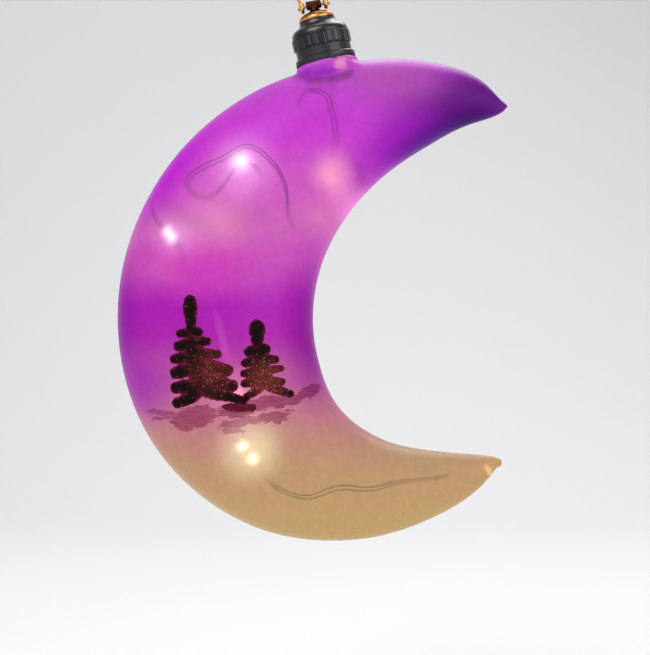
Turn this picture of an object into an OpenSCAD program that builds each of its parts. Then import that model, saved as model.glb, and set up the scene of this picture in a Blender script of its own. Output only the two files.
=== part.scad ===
// Crescent moon ornament light: a blown shell with a string of micro lamps inside, fed by
// two button cells in a screw cap, hung from a wire bail. Millimetres, +Z up, front is -Y.
// The origin is the hook point, at the top inside of the hanging loop.

/* [Moon] */
// Radius of the bay between the horns, where it is tightest
bay_r = 33.5; // [31:0.5:36]
// Width of the belly, from the bay to the back of the moon
belly_w = 57; // [55:0.5:60]
// Depth of the belly, front to back
belly_d = 46; // [44.5:0.5:50]
// Wall of the blown shell
wall_t = 1.5; // [1.1:0.1:1.7]
// Diameter of the drop of glass that closes the lower tip
tip_drop_d = 2.6; // [2.2:0.1:3]

/* [Neck] */
// Outside diameter of the neck
neck_od = 17.4; // [17:0.1:18]
// Bore of the neck
neck_id = 14.6; // [14.4:0.1:15]
// How far the rim stands proud of the moon's outline
neck_rise = 1.1; // [0.6:0.1:2]
// Lean of the neck from the vertical
neck_tilt = 12.5; // [11:0.5:15]
// Direction from the middle of the bay to the neck
neck_a = 114; // [113:0.5:116]
// Diameter of the rolled bead under the rim
lip_d = 1.4; // [1:0.1:1.6]

/* [Battery cup] */
// Diameter of a button cell
cell_d = 11.6; // [11.4:0.1:11.8]
// Height of a button cell
cell_h = 5.4; // [5.2:0.1:5.6]
// Length of the plug that sits in the neck
spigot_l = 5; // [4.5:0.1:5.5]
// Thickness of the floor of the cup
floor_t = 1; // [0.8:0.1:1.3]
// Thickness of the flange that rests on the neck seal
flange_t = 1.2; // [1:0.1:1.5]
// Diameter of the collar that carries the switch
collar_d = 16; // [15.8:0.1:16.4]
// Height of the collar
collar_h = 2.4; // [2.4:0.1:2.8]
// Diameter of the threaded mouth
mouth_d = 14.6; // [14.4:0.1:14.8]
// Height by which the upper cell stands out of the mouth
cell_proud = 0.8; // [0.6:0.1:1]
// Thickness of the flat neck seal
seal_t = 0.8; // [0.6:0.1:1]
// Thickness of the driver board
board_t = 0.8; // [0.6:0.1:1]
// Height of the cell spring, pressed
spring_h = 1.6; // [1.4:0.1:2]
// Wire of the cell spring
spring_wire_d = 0.45; // [0.35:0.05:0.5]
// Bore of the wire gland
gland_id = 1.3; // [1.25:0.05:1.5]

/* [Switch] */
// Travel of the slide switch
switch_travel = 2.4; // [2:0.1:2.8]
// Width of the switch knob
knob_w = 1.6; // [1.2:0.1:1.8]
// Height by which the knob stands out of the collar
knob_proud = 0.7; // [0.5:0.1:0.9]

/* [Screw cap] */
// Diameter of the grip band
grip_d = 17; // [16.8:0.1:17.6]
// Height of the grip band
grip_h = 3.6; // [3:0.1:4]
// Number of flutes round the grip
flutes = 24; // [16:1:28]
// Thickness of the cap's roof
roof_t = 3.25; // [3:0.05:3.6]
// Diameter of the cap where the finial sits
crown_d = 10.4; // [10:0.1:11]

/* [Finial and loop] */
// Diameter of the stud that holds the finial
stud_d = 2.8; // [2.4:0.1:3]
// Height of the finial's dome
dome_h = 2.5; // [2.2:0.1:2.7]
// Height of the pin above the crown
pin_rise = 4.4; // [4.3:0.1:5]
// Diameter of the pin that carries the loop
pin_d = 1.2; // [1:0.1:1.3]
// Width of the lug between the loop's eyes
lug_w = 4.4; // [4:0.1:4.8]
// Wire of the hanging loop
loop_wire_d = 1.2; // [1:0.1:1.3]
// Radius of the loop's top, at the middle of the wire
loop_r = 6.5; // [6:0.5:9]
// Angle at which each leg leans outwards
leg_lean = 20; // [16:1:22]

/* [Lamps] */
// Diameter of the twin lamp wire
lamp_wire_d = 1.1; // [0.9:0.1:1.2]
// Diameter of a lamp bead
bead_d = 2.2; // [1.8:0.1:2.4]
// Length of a lamp bead
bead_l = 4.4; // [3.6:0.1:5]

/* [Painted pines] */
// Height of the tall pine
tall_pine_h = 32; // [28:0.5:34]
// Width of the tall pine at its foot
tall_pine_w = 19; // [16:0.5:21]
// Height of the short pine
short_pine_h = 23; // [20:0.5:25]
// Width of the short pine at its foot
short_pine_w = 15; // [12:0.5:16]
// Thickness of the raised paint
paint_t = 0.9; // [0.6:0.1:1.2]

/* [Hidden] */
$fn = 64;

// Clearances and small stock sizes
spigot_gap = 0.3;    // plug to neck bore, filled by the seal and glue
cell_gap = 0.2;      // cell to cup
thread_gap = 0.15;   // mouth to cap, where the thread runs
rest_gap = 0.05;     // flat faces of different bodies
pin_gap = 0.08;      // loop eye on its pin
seat_gap = 0.02;     // parts pressed or screwed together
lug_gap = 0.65;      // lug to the loop's eyes
grip_gap = 0.2;      // collar to the rim of the cap
edge = 0.3;          // small moulded edge
cut = 0.5;           // how far a cutter runs past a face

// Heights along the neck's axis, from its rim
cup_bottom = -spigot_l;
floor_top = cup_bottom + floor_t;
board_top = floor_top + board_t;
cells_bottom = board_top + spring_h;
cells_top = cells_bottom + 2*cell_h;
flange_top = seal_t + flange_t;
collar_top = flange_top + collar_h;
mouth_top = cells_top - cell_proud;
cap_bottom = collar_top + grip_gap;
contact_bottom = cells_top + rest_gap;
contact_t = 0.25;
ceiling = contact_bottom + contact_t + 2*rest_gap;
crown = ceiling + roof_t;
pin_h = crown + pin_rise;

// Radii about the neck's axis
spigot_r = neck_id/2 - spigot_gap;
cup_r = cell_d/2 + cell_gap;
mouth_r = mouth_d/2;
collar_r = collar_d/2;
cap_bore_r = mouth_r + thread_gap;
grip_r = grip_d/2;
crown_r = crown_d/2;
stud_r = stud_d/2;

// The loop: its eyes stand beside the lug, its legs lean out and meet the top at a tangent
swell = 0.05;        // how much stouter the wire is where it is bent
eye_wire_r = loop_wire_d/2 + swell;
eye_r = pin_d/2 + pin_gap + eye_wire_r;
eye_u = lug_w/2 + lug_gap + eye_wire_r;
leg_h = pin_h + eye_r;
loop_h = leg_h + loop_r*sin(leg_lean) + (loop_r*cos(leg_lean) - eye_u)/tan(leg_lean);
hook_h = loop_h + loop_r - loop_wire_d/2;

// The crescent is a loft about the middle of the bay. Its stations crowd towards the tips, so
// that the tips close round: the bay's edge as a share of bay_r, the width of belly_w.
upper_tip_a = 68.7;
lower_tip_a = 292.9;
edge_share = [1.80, 1.67, 1.52, 1.31, 1.15, 1.04, 1.00, 1.02, 1.10, 1.23, 1.28, 1.30, 1.36, 1.44, 1.51];
width_share = [0, 0.10, 0.27, 0.45, 0.61, 0.79, 0.93, 1.00, 0.955, 0.763, 0.544, 0.36, 0.21, 0.08, 0];
last = len(width_share) - 1;
skin_rings = 60;
skin_sides = 36;
hollow_rings = 40;
hollow_sides = 24;

function ends(v) = concat([2*v[0] - v[1]], v, [2*v[last] - v[last - 1]]);
function smooth(v, s) =
    let (e = ends(v), i = min(floor(s*last), last - 1), f = s*last - i,
         a = e[i], b = e[i + 1], c = e[i + 2], d = e[i + 3])
    (2*b + (c - a)*f + (2*a - 5*b + 4*c - d)*f*f + (3*b - a - 3*c + d)*f*f*f)/2;
function swing(s) = upper_tip_a + (lower_tip_a - upper_tip_a)*(1 - cos(180*s))/2;
function along(a) = acos(1 - 2*(a - upper_tip_a)/(lower_tip_a - upper_tip_a))/180;
function half_w(s) = belly_w/2*smooth(width_share, s);
function half_d(s) = belly_d/2*smooth(width_share, s);
function spine(s) = bay_r*smooth(edge_share, s) + half_w(s);
function polar(r, a) = [r*cos(a), 0, r*sin(a)];
function moon_at(s, v, skin) =
    polar(spine(s) + (half_w(s) - skin)*cos(v), swing(s)) + [0, (half_d(s) - skin)*sin(v), 0];

// Front of the shell over a point of the XZ plane
function front_y(x, z) =
    let (a = atan2(z, x), s = along(a < 0 ? a + 360 : a),
         q = (norm([x, z]) - spine(s))/half_w(s))
    -half_d(s)*sqrt(max(0, 1 - q*q));

rim = polar(spine(along(neck_a)) + half_w(along(neck_a)) + neck_rise, neck_a);
function on_neck(h) = rim + h*[-sin(neck_tilt), 0, cos(neck_tilt)];
hook = on_neck(hook_h);

module moon_frame() translate(-hook) children();
module neck_frame(h = 0) rotate([0, -neck_tilt, 0]) translate([0, 0, h - hook_h]) children();
module ring(r_in, r_out, h) difference() {
    cylinder(r = r_out, h = h);
    translate([0, 0, -cut]) cylinder(r = r_in, h = h + 2*cut);
}

// One closed skin of the crescent between two stations, drawn in by skin
module moon_loft(skin, rings, sides, from, to) {
    step = (to - from)/rings;
    mids = [for (i = [1:rings - 1], j = [0:sides - 1])
        moon_at(from + i*step, 360*j/sides, skin)];
    tips = [for (s = [from, to]) polar(spine(s), swing(s))];
    n = len(mids);
    tube = [for (i = [0:rings - 3], j = [0:sides - 1]) let (k = (j + 1)%sides, a = i*sides)
        each [[a + j, a + sides + j, a + sides + k], [a + j, a + sides + k, a + k]]];
    caps = [for (j = [0:sides - 1]) let (k = (j + 1)%sides, a = n - sides)
        each [[n, j, k], [n + 1, a + k, a + j]]];
    polyhedron(concat(mids, tips), concat(tube, caps));
}

// The hollow stops where the horns are too thin to hold it
hollow_from = 0.08;
hollow_to = 0.92;
neck_depth = 9;
tip_drop_at = polar(spine(1) + 0.3, lower_tip_a - 1);

// The neck flares out where it joins the shell, to the slope of the shell in front of it
flare_r = 2.6;
flare_top = 3.5;
flare_a = 45;
module neck_profile() polygon(concat(
    [[0, -neck_depth], [0, 0], [neck_od/2, 0]],
    [for (a = [180:9:180 + flare_a])
        [neck_od/2 + flare_r + flare_r*cos(a), -flare_top + flare_r*sin(a)]],
    [[neck_od/2, -neck_depth]]));

module moon_shell() color("plum") difference() {
    union() {
        moon_frame() moon_loft(0, skin_rings, skin_sides, 0, 1);
        neck_frame() rotate_extrude() neck_profile();
        neck_frame(-lip_d/2 - 0.2) rotate_extrude()
            translate([neck_od/2 - lip_d/4, 0]) circle(d = lip_d, $fn = 24);
        moon_frame() translate(tip_drop_at) sphere(d = tip_drop_d, $fn = 32);
    }
    moon_frame() moon_loft(wall_t, hollow_rings, hollow_sides, hollow_from, hollow_to);
    neck_frame(-neck_depth - 3) cylinder(d = neck_id, h = neck_depth + 3 + cut);
}

// Flat rubber seal between the rim and the flange of the cup
module neck_seal() color("dimgray") neck_frame() ring(spigot_r + 0.05, neck_od/2, seal_t);

// Dab of glue that has run down over the lip. It lies at the front of the neck, where the shell
// falls away from the lip, and turns with the moon's outline under the neck.
glue_t = 0.45;
glue_h = 2.6;
glue_turn = 36;
outline_turn = neck_a - 90 - neck_tilt;
glue_a = -glue_turn - 2*outline_turn;
glue_span = 44;
glue_in = neck_od/2 + lip_d/4 + 0.03;
module glue_bead() color("wheat") neck_frame(-glue_h) rotate([0, 0, glue_a - glue_span/2])
    rotate_extrude(angle = glue_span) polygon([
        [glue_in, 0.2], [glue_in + 0.2, 0], [glue_in + glue_t, 0.8], [glue_in + glue_t, glue_h - 0.3],
        [glue_in + glue_t - 0.3, glue_h], [glue_in, glue_h]]);

// A pine of raised paint that follows the front of the shell. Its rows run from the foot to
// the top. Each side swells and draws in row by row, out of step with the other side, where the
// boughs are dabbed on, and above them a bare leader stands.
pine_rows = 52;
pine_cols = 8;
paint_gap = 0.1;
leader_share = 0.30;
leader_fill = 0.2;
bough_cut = 0.38;
taper = 0.66;
least_half = 0.15;
function boughs(t, tiers, phase) =
    let (p = t/(1 - leader_share), dab = pow(abs(sin(180*(tiers*p + phase))), 0.6))
    (1 - taper*p)*(1 - bough_cut + bough_cut*dab);
function leader(t) = leader_fill*sqrt(max(0, 1 - pow(max(0, (t - 0.9)/0.1), 2)));
function pine_half(t, w, tiers, phase) =
    let (side = t > 1 - leader_share ? 0 : boughs(t, tiers, phase))
    max(least_half, w/2*max(side, leader(t)));
function pine_bulge(t) = paint_t*min(1, 10*t + 0.2, 10*(1 - t) + 0.2);
function on_belly(share, a) = (bay_r + share*belly_w)*[cos(a), sin(a)];
module pine(foot, h, w, lean, tiers) {
    m = 2*pine_cols;
    pts = [for (i = [0:pine_rows], j = [0:m - 1])
        let (t = i/pine_rows, v = 180*j/pine_cols, left = cos(v) > 0,
             x = foot[0] - lean*h*t - pine_half(t, w, tiers, left ? 0 : 0.5)*cos(v),
             z = foot[1] + h*t,
             out = j <= pine_cols ? pine_bulge(t)*sin(v) : 0)
        [x, front_y(x, z) - paint_gap - out, z]];
    sides = [for (i = [0:pine_rows - 1], j = [0:m - 1]) let (k = (j + 1)%m, a = i*m)
        each [[a + j, a + m + k, a + k], [a + j, a + m + j, a + m + k]]];
    foot_cap = [[for (j = [0:m - 1]) j]];
    top_cap = [[for (j = [m - 1:-1:0]) pine_rows*m + j]];
    moon_frame() polyhedron(pts, concat(foot_cap, sides, top_cap));
}
tall_pine_foot = on_belly(0.70, 205.5);
short_pine_foot = on_belly(0.41, 210.5);
pine_brown = [0.16, 0.07, 0.06];
module tall_pine() color(pine_brown) pine(tall_pine_foot, tall_pine_h, tall_pine_w, 0.12, 7);
module short_pine() color(pine_brown) pine(short_pine_foot, short_pine_h, short_pine_w, 0.09, 5);

// Battery cup: a plug in the neck, a flange, the collar with the switch, and the threaded mouth
strip_w = 2;
strip_t = 0.25;
strip_r = cup_r + 0.05;
tongue_t = 0.3;
tongue_r = strip_r + strip_t + rest_gap;
notch_w = strip_w + 0.4;
notch_bottom = collar_top + 0.1;
knob_lip = 0.6;      // flange of the knob that stays behind the slot
pocket_l = switch_travel + knob_w + 4*knob_lip;
pocket_h = 1.8;
pocket_t = 1.2;
switch_h = flange_top + collar_h/2;
module cup_body() rotate_extrude() polygon([
    [0, cup_bottom], [spigot_r, cup_bottom], [spigot_r, seal_t], [neck_od/2, seal_t],
    [neck_od/2, flange_top - edge], [neck_od/2 - edge, flange_top], [collar_r, flange_top],
    [collar_r, collar_top], [mouth_r, collar_top], [mouth_r, mouth_top - edge],
    [mouth_r - edge, mouth_top], [cup_r, mouth_top], [cup_r, floor_top], [0, floor_top]]);
gland_hole_r = gland_id/2 + 0.5;
module battery_cup() color([0.12, 0.11, 0.12]) neck_frame() difference() {
    cup_body();
    translate([0, 0, cup_bottom - cut]) cylinder(r = gland_hole_r, h = floor_t + 2*cut);
    translate([-mouth_r - cut, -notch_w/2, notch_bottom])
        cube([mouth_r - cup_r + 2*cut, notch_w, mouth_top - notch_bottom + cut]);
    translate([-tongue_r, -notch_w/2, floor_top])
        cube([tongue_r - cup_r + cut, notch_w, notch_bottom - floor_top + cut]);
    translate([-pocket_l/2, collar_r - pocket_t, switch_h - pocket_h/2])
        cube([pocket_l, pocket_t + cut, pocket_h]);
}

// Gland that carries the lamp wire through the floor of the cup
gland_l = 1.4;
module wire_gland() color([0.85, 0.82, 0.74]) neck_frame() rotate_extrude() polygon([
    [gland_id/2, floor_top], [gland_hole_r - seat_gap, floor_top],
    [gland_hole_r - seat_gap, cup_bottom], [gland_id/2 + 1.1, cup_bottom],
    [gland_id/2 + 0.4, cup_bottom - gland_l], [gland_id/2, cup_bottom - gland_l]]);

// Driver board with its resistor, under the cell spring
board_r = cup_r - 0.15;
module driver_board() color("darkgreen") neck_frame(floor_top) difference() {
    cylinder(r = board_r, h = board_t);
    for (y = [-1.2, 1.2]) translate([0, y, -cut]) cylinder(r = 0.35, h = board_t + 2*cut);
}
module limiting_resistor() color("black") neck_frame(board_top) translate([-1, -0.6, 0])
    cube([2, 1.2, 0.6]);

// Cone spring: from a wide turn on the board to a narrow one under the lower cell
spring_turns = 2;
spring_steps = 16*spring_turns;
spring_foot_r = 4.6;
spring_top_r = 2.4;
function coil(q) = let (r = spring_foot_r + (spring_top_r - spring_foot_r)*q)
    [r*cos(360*spring_turns*q), r*sin(360*spring_turns*q),
     board_top + spring_wire_d/2 + (spring_h - spring_wire_d)*q];
module cell_spring() color("silver") neck_frame()
    sweep([for (i = [0:spring_steps]) coil(i/spring_steps)], spring_wire_d/2, 6);

module cell(h) color("lightsteelblue") neck_frame(h) rotate_extrude() polygon([
    [0, 0.1], [cell_d/2 - 1.6, 0.1], [cell_d/2 - 1.5, 0], [cell_d/2 - 0.3, 0], [cell_d/2, 0.3],
    [cell_d/2, cell_h - 0.3], [cell_d/2 - 0.3, cell_h - 0.1], [cell_d/2 - 1.2, cell_h - 0.1],
    [cell_d/2 - 1.3, cell_h], [0, cell_h]]);
module lower_cell() cell(cells_bottom);
module upper_cell() cell(cells_bottom + cell_h);

// Strip in the wall of the cup, from the board up to the tongue of the top contact
module contact_strip() color("goldenrod") neck_frame(floor_top)
    translate([-strip_r - strip_t, -strip_w/2, 0]) cube([strip_t, strip_w, mouth_top - 0.2 - floor_top]);

// Slide switch in the back of the collar
plate_t = 0.5;
leaf_t = 0.25;
module switch_leaf() color("goldenrod") neck_frame(switch_h)
    translate([-pocket_l/2 + 0.3, collar_r - pocket_t, -0.5]) difference() {
        cube([pocket_l - 0.6, leaf_t, 1]);
        translate([pocket_l/2 - 0.45, -cut, -cut]) cube([0.3, leaf_t + 2*cut, 1 + 2*cut]);
    }
knob_u = switch_travel/2;
knob_gap = 0.05;
knob_inset = 0.2;
knob_h = pocket_h - 2*knob_inset;
knob_y = pocket_t - leaf_t - knob_gap + knob_proud;
rib_h = 0.2;
module switch_knob() color("ivory") neck_frame(switch_h)
    translate([knob_u, collar_r - pocket_t + leaf_t + knob_gap, 0]) union() {
        translate([-knob_w/2 - knob_lip, 0, -pocket_h/2 + knob_gap])
            cube([knob_w + 2*knob_lip, plate_t, pocket_h - 2*knob_gap]);
        for (i = [-1:1]) translate([i*knob_w/3 - knob_w/8, 0, -knob_h/2])
            cube([knob_w/4, knob_y, knob_h]);
        translate([-knob_w/2, 0, -knob_h/2]) cube([knob_w, knob_y - rib_h, knob_h]);
    }

// Ring that seals the cap on the collar
gasket_d = 0.66;
gasket_room_r = mouth_r + gasket_d + 2*rest_gap;
module cup_gasket() color("dimgray") neck_frame(collar_top + gasket_d/2 + 0.01) rotate_extrude()
    translate([mouth_r + rest_gap + gasket_d/2, 0]) circle(d = gasket_d, $fn = 20);

// Brass contact over the cells: it turns with the cup by its tongue and rises with the cap
tongue_bottom = notch_bottom + rest_gap;
module top_contact() color("goldenrod") neck_frame() union() {
    translate([0, 0, contact_bottom]) cylinder(r = cell_d/2 - 0.2, h = contact_t);
    translate([-tongue_r - tongue_t, -strip_w/2, contact_bottom])
        cube([tongue_r + tongue_t - strip_w, strip_w, contact_t]);
    translate([-tongue_r - tongue_t, -strip_w/2, tongue_bottom])
        cube([tongue_t, strip_w, contact_bottom + contact_t - tongue_bottom]);
}

// Screw cap: fluted grip, ogee shoulder and a recess for the finial's nut. The shoulder is a round
// arc and a hollow arc that meet at a tangent, between the grip band and the crown.
nut_af = 5;
nut_t = 1.4;
nut_recess_r = nut_af/2/cos(30) + 0.2;
nut_bottom = ceiling + 0.2;
grip_top = cap_bottom + grip_h;
groove = 0.4;
shoulder_x = grip_r - edge;
shoulder_z = grip_top + edge;
ogee_in = shoulder_x - crown_r;
ogee_up = crown - edge - shoulder_z;
ogee_sum = (ogee_in*ogee_in + ogee_up*ogee_up)/(2*ogee_in);
ogee_a = atan2(ogee_up, ogee_sum - ogee_in);
round_r = 0.52*ogee_sum;
hollow_r = ogee_sum - round_r;
relief_bottom = cap_bottom + gasket_d + edge;
function arc(c, r, a0, a1, n) =
    [for (i = [0:n]) let (a = a0 + (a1 - a0)*i/n) c + r*[cos(a), sin(a)]];
module cap_profile() polygon(concat(
    [[cap_bore_r, relief_bottom], [gasket_room_r, relief_bottom - (gasket_room_r - cap_bore_r)],
     [gasket_room_r, cap_bottom], [grip_r - edge, cap_bottom], [grip_r, cap_bottom + edge],
     [grip_r, grip_top - edge], [grip_r - groove, grip_top], [grip_r - groove, shoulder_z]],
    arc([shoulder_x - round_r, shoulder_z], round_r, 0, ogee_a, 10),
    arc([crown_r + hollow_r, crown - edge], hollow_r, ogee_a + 180, 180, 10),
    [[crown_r, crown], [stud_r + seat_gap, crown], [stud_r + seat_gap, nut_bottom + nut_t],
     [nut_recess_r, nut_bottom + nut_t], [nut_recess_r, ceiling], [cap_bore_r, ceiling]]));
flute_r = 0.7;
flute_in = 0.3;
module screw_cap() color([0.09, 0.06, 0.07]) neck_frame() difference() {
    rotate_extrude() cap_profile();
    for (i = [0:flutes - 1]) rotate([0, 0, 360*(i + 0.5)/flutes])
        translate([grip_r + flute_r - flute_in, 0, cap_bottom - cut])
            cylinder(r = flute_r, h = grip_h + cut - groove, $fn = 24);
}

// Brass finial: a domed foot, the lug for the pin and the stud that the nut pulls down
lug_r = pin_d/2 + 0.65;
foot_h = 0.3;
foot_r = crown_r - 0.1;
lug_foot = crown + foot_h;
module finial() color("darkgoldenrod") neck_frame() difference() {
    union() {
        rotate_extrude() polygon(concat(
            [[0, nut_bottom + 0.1], [stud_r, nut_bottom + 0.1], [stud_r, crown], [foot_r, crown]],
            [for (q = [0:10:80]) [foot_r*cos(q), lug_foot + (dome_h - foot_h)*sin(q)]],
            [[0, crown + dome_h]]));
        translate([-lug_w/2, -lug_r, lug_foot]) cube([lug_w, 2*lug_r, pin_h - lug_foot]);
        translate([-lug_w/2, 0, pin_h]) rotate([0, 90, 0]) cylinder(r = lug_r, h = lug_w);
    }
    translate([-lug_w/2 - cut, 0, pin_h]) rotate([0, 90, 0])
        cylinder(r = pin_d/2 + seat_gap, h = lug_w + 2*cut);
}
module finial_nut() color("goldenrod") neck_frame(nut_bottom) difference() {
    cylinder(r = nut_af/2/cos(30), h = nut_t, $fn = 6);
    translate([0, 0, -cut]) cylinder(r = stud_r + seat_gap, h = nut_t + 2*cut);
}

// Pin with a head outside each eye of the loop
pin_end_u = eye_u + eye_wire_r + 0.1;
pin_head_t = 0.45;
pin_head_r = eye_r - 0.4;
module loop_pin() color("silver") neck_frame(pin_h) rotate([0, 90, 0]) union() {
    translate([0, 0, -pin_end_u]) cylinder(d = pin_d, h = 2*pin_end_u);
    for (m = [0, 1]) mirror([0, 0, m]) translate([0, 0, pin_end_u])
        cylinder(r = pin_head_r, h = pin_head_t);
}

// Wire bail: two eyes, two legs and a round top
module hanging_loop() color("darkgoldenrod") neck_frame() union() {
    leg_l = norm([loop_r*cos(leg_lean) - eye_u, loop_h - loop_r*sin(leg_lean) - leg_h]);
    for (m = [0, 1]) mirror([m, 0, 0]) {
        translate([eye_u, 0, pin_h]) rotate([0, 90, 0]) rotate_extrude()
            translate([eye_r, 0]) circle(r = eye_wire_r, $fn = 32);
        translate([eye_u, 0, leg_h]) rotate([0, leg_lean, 0]) {
            cylinder(d = loop_wire_d, h = leg_l, $fn = 32);
            translate([0, 0, leg_l]) sphere(r = loop_wire_d/2 + swell/2, $fn = 32);
        }
    }
    translate([0, 0, loop_h]) rotate([90, 0, 0]) rotate([0, 0, -leg_lean])
        rotate_extrude(angle = 180 + 2*leg_lean)
            translate([loop_r, 0]) circle(d = loop_wire_d, $fn = 32);
}

// Route of the lamp string inside the shell, about the middle of the bay. It leaves the gland,
// wanders down the belly from wall to wall and runs out along the lower horn.
string_route = [
    [-28.7, 0.5, 58.8], [-30.8, 4.5, 55.5], [-35, 5, 54.3], [-38.6, 0, 56.3], [-36, -6.5, 59.5],
    [-31, -8.5, 58.3], [-29.3, -9.5, 54], [-28.3, -8.5, 49.5], [-28, -3, 44.5],
    [-30.5, 6, 41.5], [-34.5, 13, 40.5], [-37.5, 15, 37.5], [-37.5, 15, 34.5],
    [-33.5, 13.5, 32.5], [-29, 11, 36], [-23, 1, 39.5], [-20.5, -1, 35], [-24, 1.5, 30],
    [-32.5, 7.5, 24], [-38, 4, 19.5], [-41.5, -6, 23.5], [-42, -15, 31], [-45.5, -15.5, 38],
    [-52.5, -14, 43], [-60, -13.5, 39.5], [-66.5, -12.5, 36.5], [-70, -9, 33.5],
    [-68.5, -8, 30], [-64, -9, 29], [-59.5, -14, 32], [-54.5, -14.5, 38.5], [-49.5, 0, 36],
    [-53, 17, 26.5], [-61.5, 18, 22], [-71, 15, 23.5], [-78, 5, 28.5], [-80, -4, 27],
    [-78.5, -10, 22], [-74.5, -13.5, 18], [-72, -8, 13.5], [-72, 0, 10], [-78, 12.5, 8.5],
    [-72, 17.5, 0], [-61.5, 10, -3], [-56.5, 10, -27.5], [-59, -8.5, -36.5], [-54, -16, -41.5],
    [-50, -14, -48], [-44, -12.5, -53.5], [-36, -11.5, -56], [-27, -10, -53.5], [-18, -9, -54],
    [-9.5, -3, -52.5], [-1, 1, -52], [5, 2, -51]];
// Places of the lamps along the route
lamp_at = [14, 18, 30, 33, 38, 41, 44, 46];
cord_path = concat([on_neck(floor_top - seat_gap), on_neck(cup_bottom - gland_l)], string_route);
cord_last = len(cord_path) - 1;
function cord_point(t) =
    let (i = min(floor(t), cord_last - 1), f = t - i,
         b = cord_path[i], c = cord_path[i + 1],
         a = i == 0 ? 2*b - c : cord_path[i - 1],
         d = i == cord_last - 1 ? 2*c - b : cord_path[i + 2])
    (2*b + (c - a)*f + (2*a - 5*b + 4*c - d)*f*f + (3*b - a - 3*c + d)*f*f*f)/2;
function unit(v) = v/norm(v);
function heading(p, i) = unit(p[min(i + 1, len(p) - 1)] - p[max(i - 1, 0)]);
function flatten_to(v, t) = unit(v - (v*t)*t);
function normals(p, i, prev) = i == len(p) ? []
    : let (n = flatten_to(prev, heading(p, i))) concat([n], normals(p, i + 1, n));

// Round tube of straight facets along a list of points
module sweep(p, r, sides) {
    nn = normals(p, 0, [0.1, 1, 0.05]);
    m = len(p);
    pts = [for (i = [0:m - 1], j = [0:sides - 1])
        let (t = heading(p, i), a = 360*j/sides) p[i] + r*(cos(a)*nn[i] + sin(a)*cross(t, nn[i]))];
    walls = [for (i = [0:m - 2], j = [0:sides - 1]) let (k = (j + 1)%sides, a = i*sides)
        each [[a + j, a + sides + k, a + k], [a + j, a + sides + j, a + sides + k]]];
    polyhedron(pts, concat([[for (j = [0:sides - 1]) j]], walls,
        [[for (j = [sides - 1:-1:0]) (m - 1)*sides + j]]));
}
cord_rings = 78;
module light_wire() color("gainsboro") moon_frame()
    sweep([for (i = [0:cord_rings - 1]) cord_point(cord_last*i/(cord_rings - 1))], lamp_wire_d/2, 8);

// Drop of clear resin round one lamp, in line with the wire
module led_bead(n) {
    t = lamp_at[n - 1] + 2;
    way = unit(cord_point(min(t + 0.1, cord_last)) - cord_point(t - 0.1));
    color("moccasin") moon_frame() translate(cord_path[t])
        rotate([0, acos(way[2]), atan2(way[1], way[0])]) union() {
            for (m = [-1, 1]) translate([0, 0, m*(bead_l - bead_d)/2]) sphere(d = bead_d, $fn = 24);
            translate([0, 0, -(bead_l - bead_d)/2]) cylinder(d = bead_d, h = bead_l - bead_d, $fn = 24);
        }
}

moon_shell();
neck_seal();
glue_bead();
tall_pine();
short_pine();
battery_cup();
wire_gland();
driver_board();
limiting_resistor();
cell_spring();
lower_cell();
upper_cell();
contact_strip();
switch_leaf();
switch_knob();
cup_gasket();
light_wire();
led_bead(1);  // led_bead_1
led_bead(2);  // led_bead_2
led_bead(3);  // led_bead_3
led_bead(4);  // led_bead_4
led_bead(5);  // led_bead_5
led_bead(6);  // led_bead_6
led_bead(7);  // led_bead_7
led_bead(8);  // led_bead_8
top_contact();
screw_cap();
finial();
finial_nut();
loop_pin();
hanging_loop();
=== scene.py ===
"""Looks of a hanging crescent moon light: a frosted, tinted shell with a lamp string inside it,
two painted pines on its front, and a battery cup, screw cap and wire loop at its neck.

Lengths are in millimetres in the dataclasses and in metres in Blender. The part hangs from its
origin, +Z is up and -Y is its front. Points "about the bay" are measured from the middle of the
bay between the horns.
"""

import logging
import math
from collections.abc import Callable, Sequence
from dataclasses import dataclass, field
from enum import Enum

import bpy
from mathutils import Matrix, Vector


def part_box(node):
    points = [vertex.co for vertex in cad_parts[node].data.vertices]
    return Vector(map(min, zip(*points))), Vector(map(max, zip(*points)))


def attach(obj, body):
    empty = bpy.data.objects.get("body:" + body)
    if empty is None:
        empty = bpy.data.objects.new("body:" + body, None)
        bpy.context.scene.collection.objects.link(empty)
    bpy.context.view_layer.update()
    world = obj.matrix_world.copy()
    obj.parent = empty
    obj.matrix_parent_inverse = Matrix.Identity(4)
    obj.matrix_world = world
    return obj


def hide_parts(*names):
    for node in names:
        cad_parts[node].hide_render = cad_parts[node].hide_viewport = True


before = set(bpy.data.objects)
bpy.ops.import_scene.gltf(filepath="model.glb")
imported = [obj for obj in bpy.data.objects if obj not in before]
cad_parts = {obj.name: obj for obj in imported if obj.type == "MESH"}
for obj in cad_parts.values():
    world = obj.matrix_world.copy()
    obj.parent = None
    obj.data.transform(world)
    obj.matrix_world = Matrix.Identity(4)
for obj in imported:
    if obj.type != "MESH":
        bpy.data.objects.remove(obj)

LOG = logging.getLogger("moon_light")
MM = 0.001
SLIVER = 0.003
Colour = tuple[float, float, float]
Point = tuple[float, float, float]
Socket = bpy.types.NodeSocket
MeshPart = bpy.types.MeshVertex | bpy.types.MeshEdge


# --------------------------------------------------------------------------------------------
# Node trees
# --------------------------------------------------------------------------------------------


@dataclass(frozen=True)
class Oval:
    """An oval over the XZ plane about the bay: its middle, half its length, half its width, and
    how far its long side is turned up from +X, in degrees.
    """

    x: float
    z: float
    long: float
    short: float
    turn: float


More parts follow.
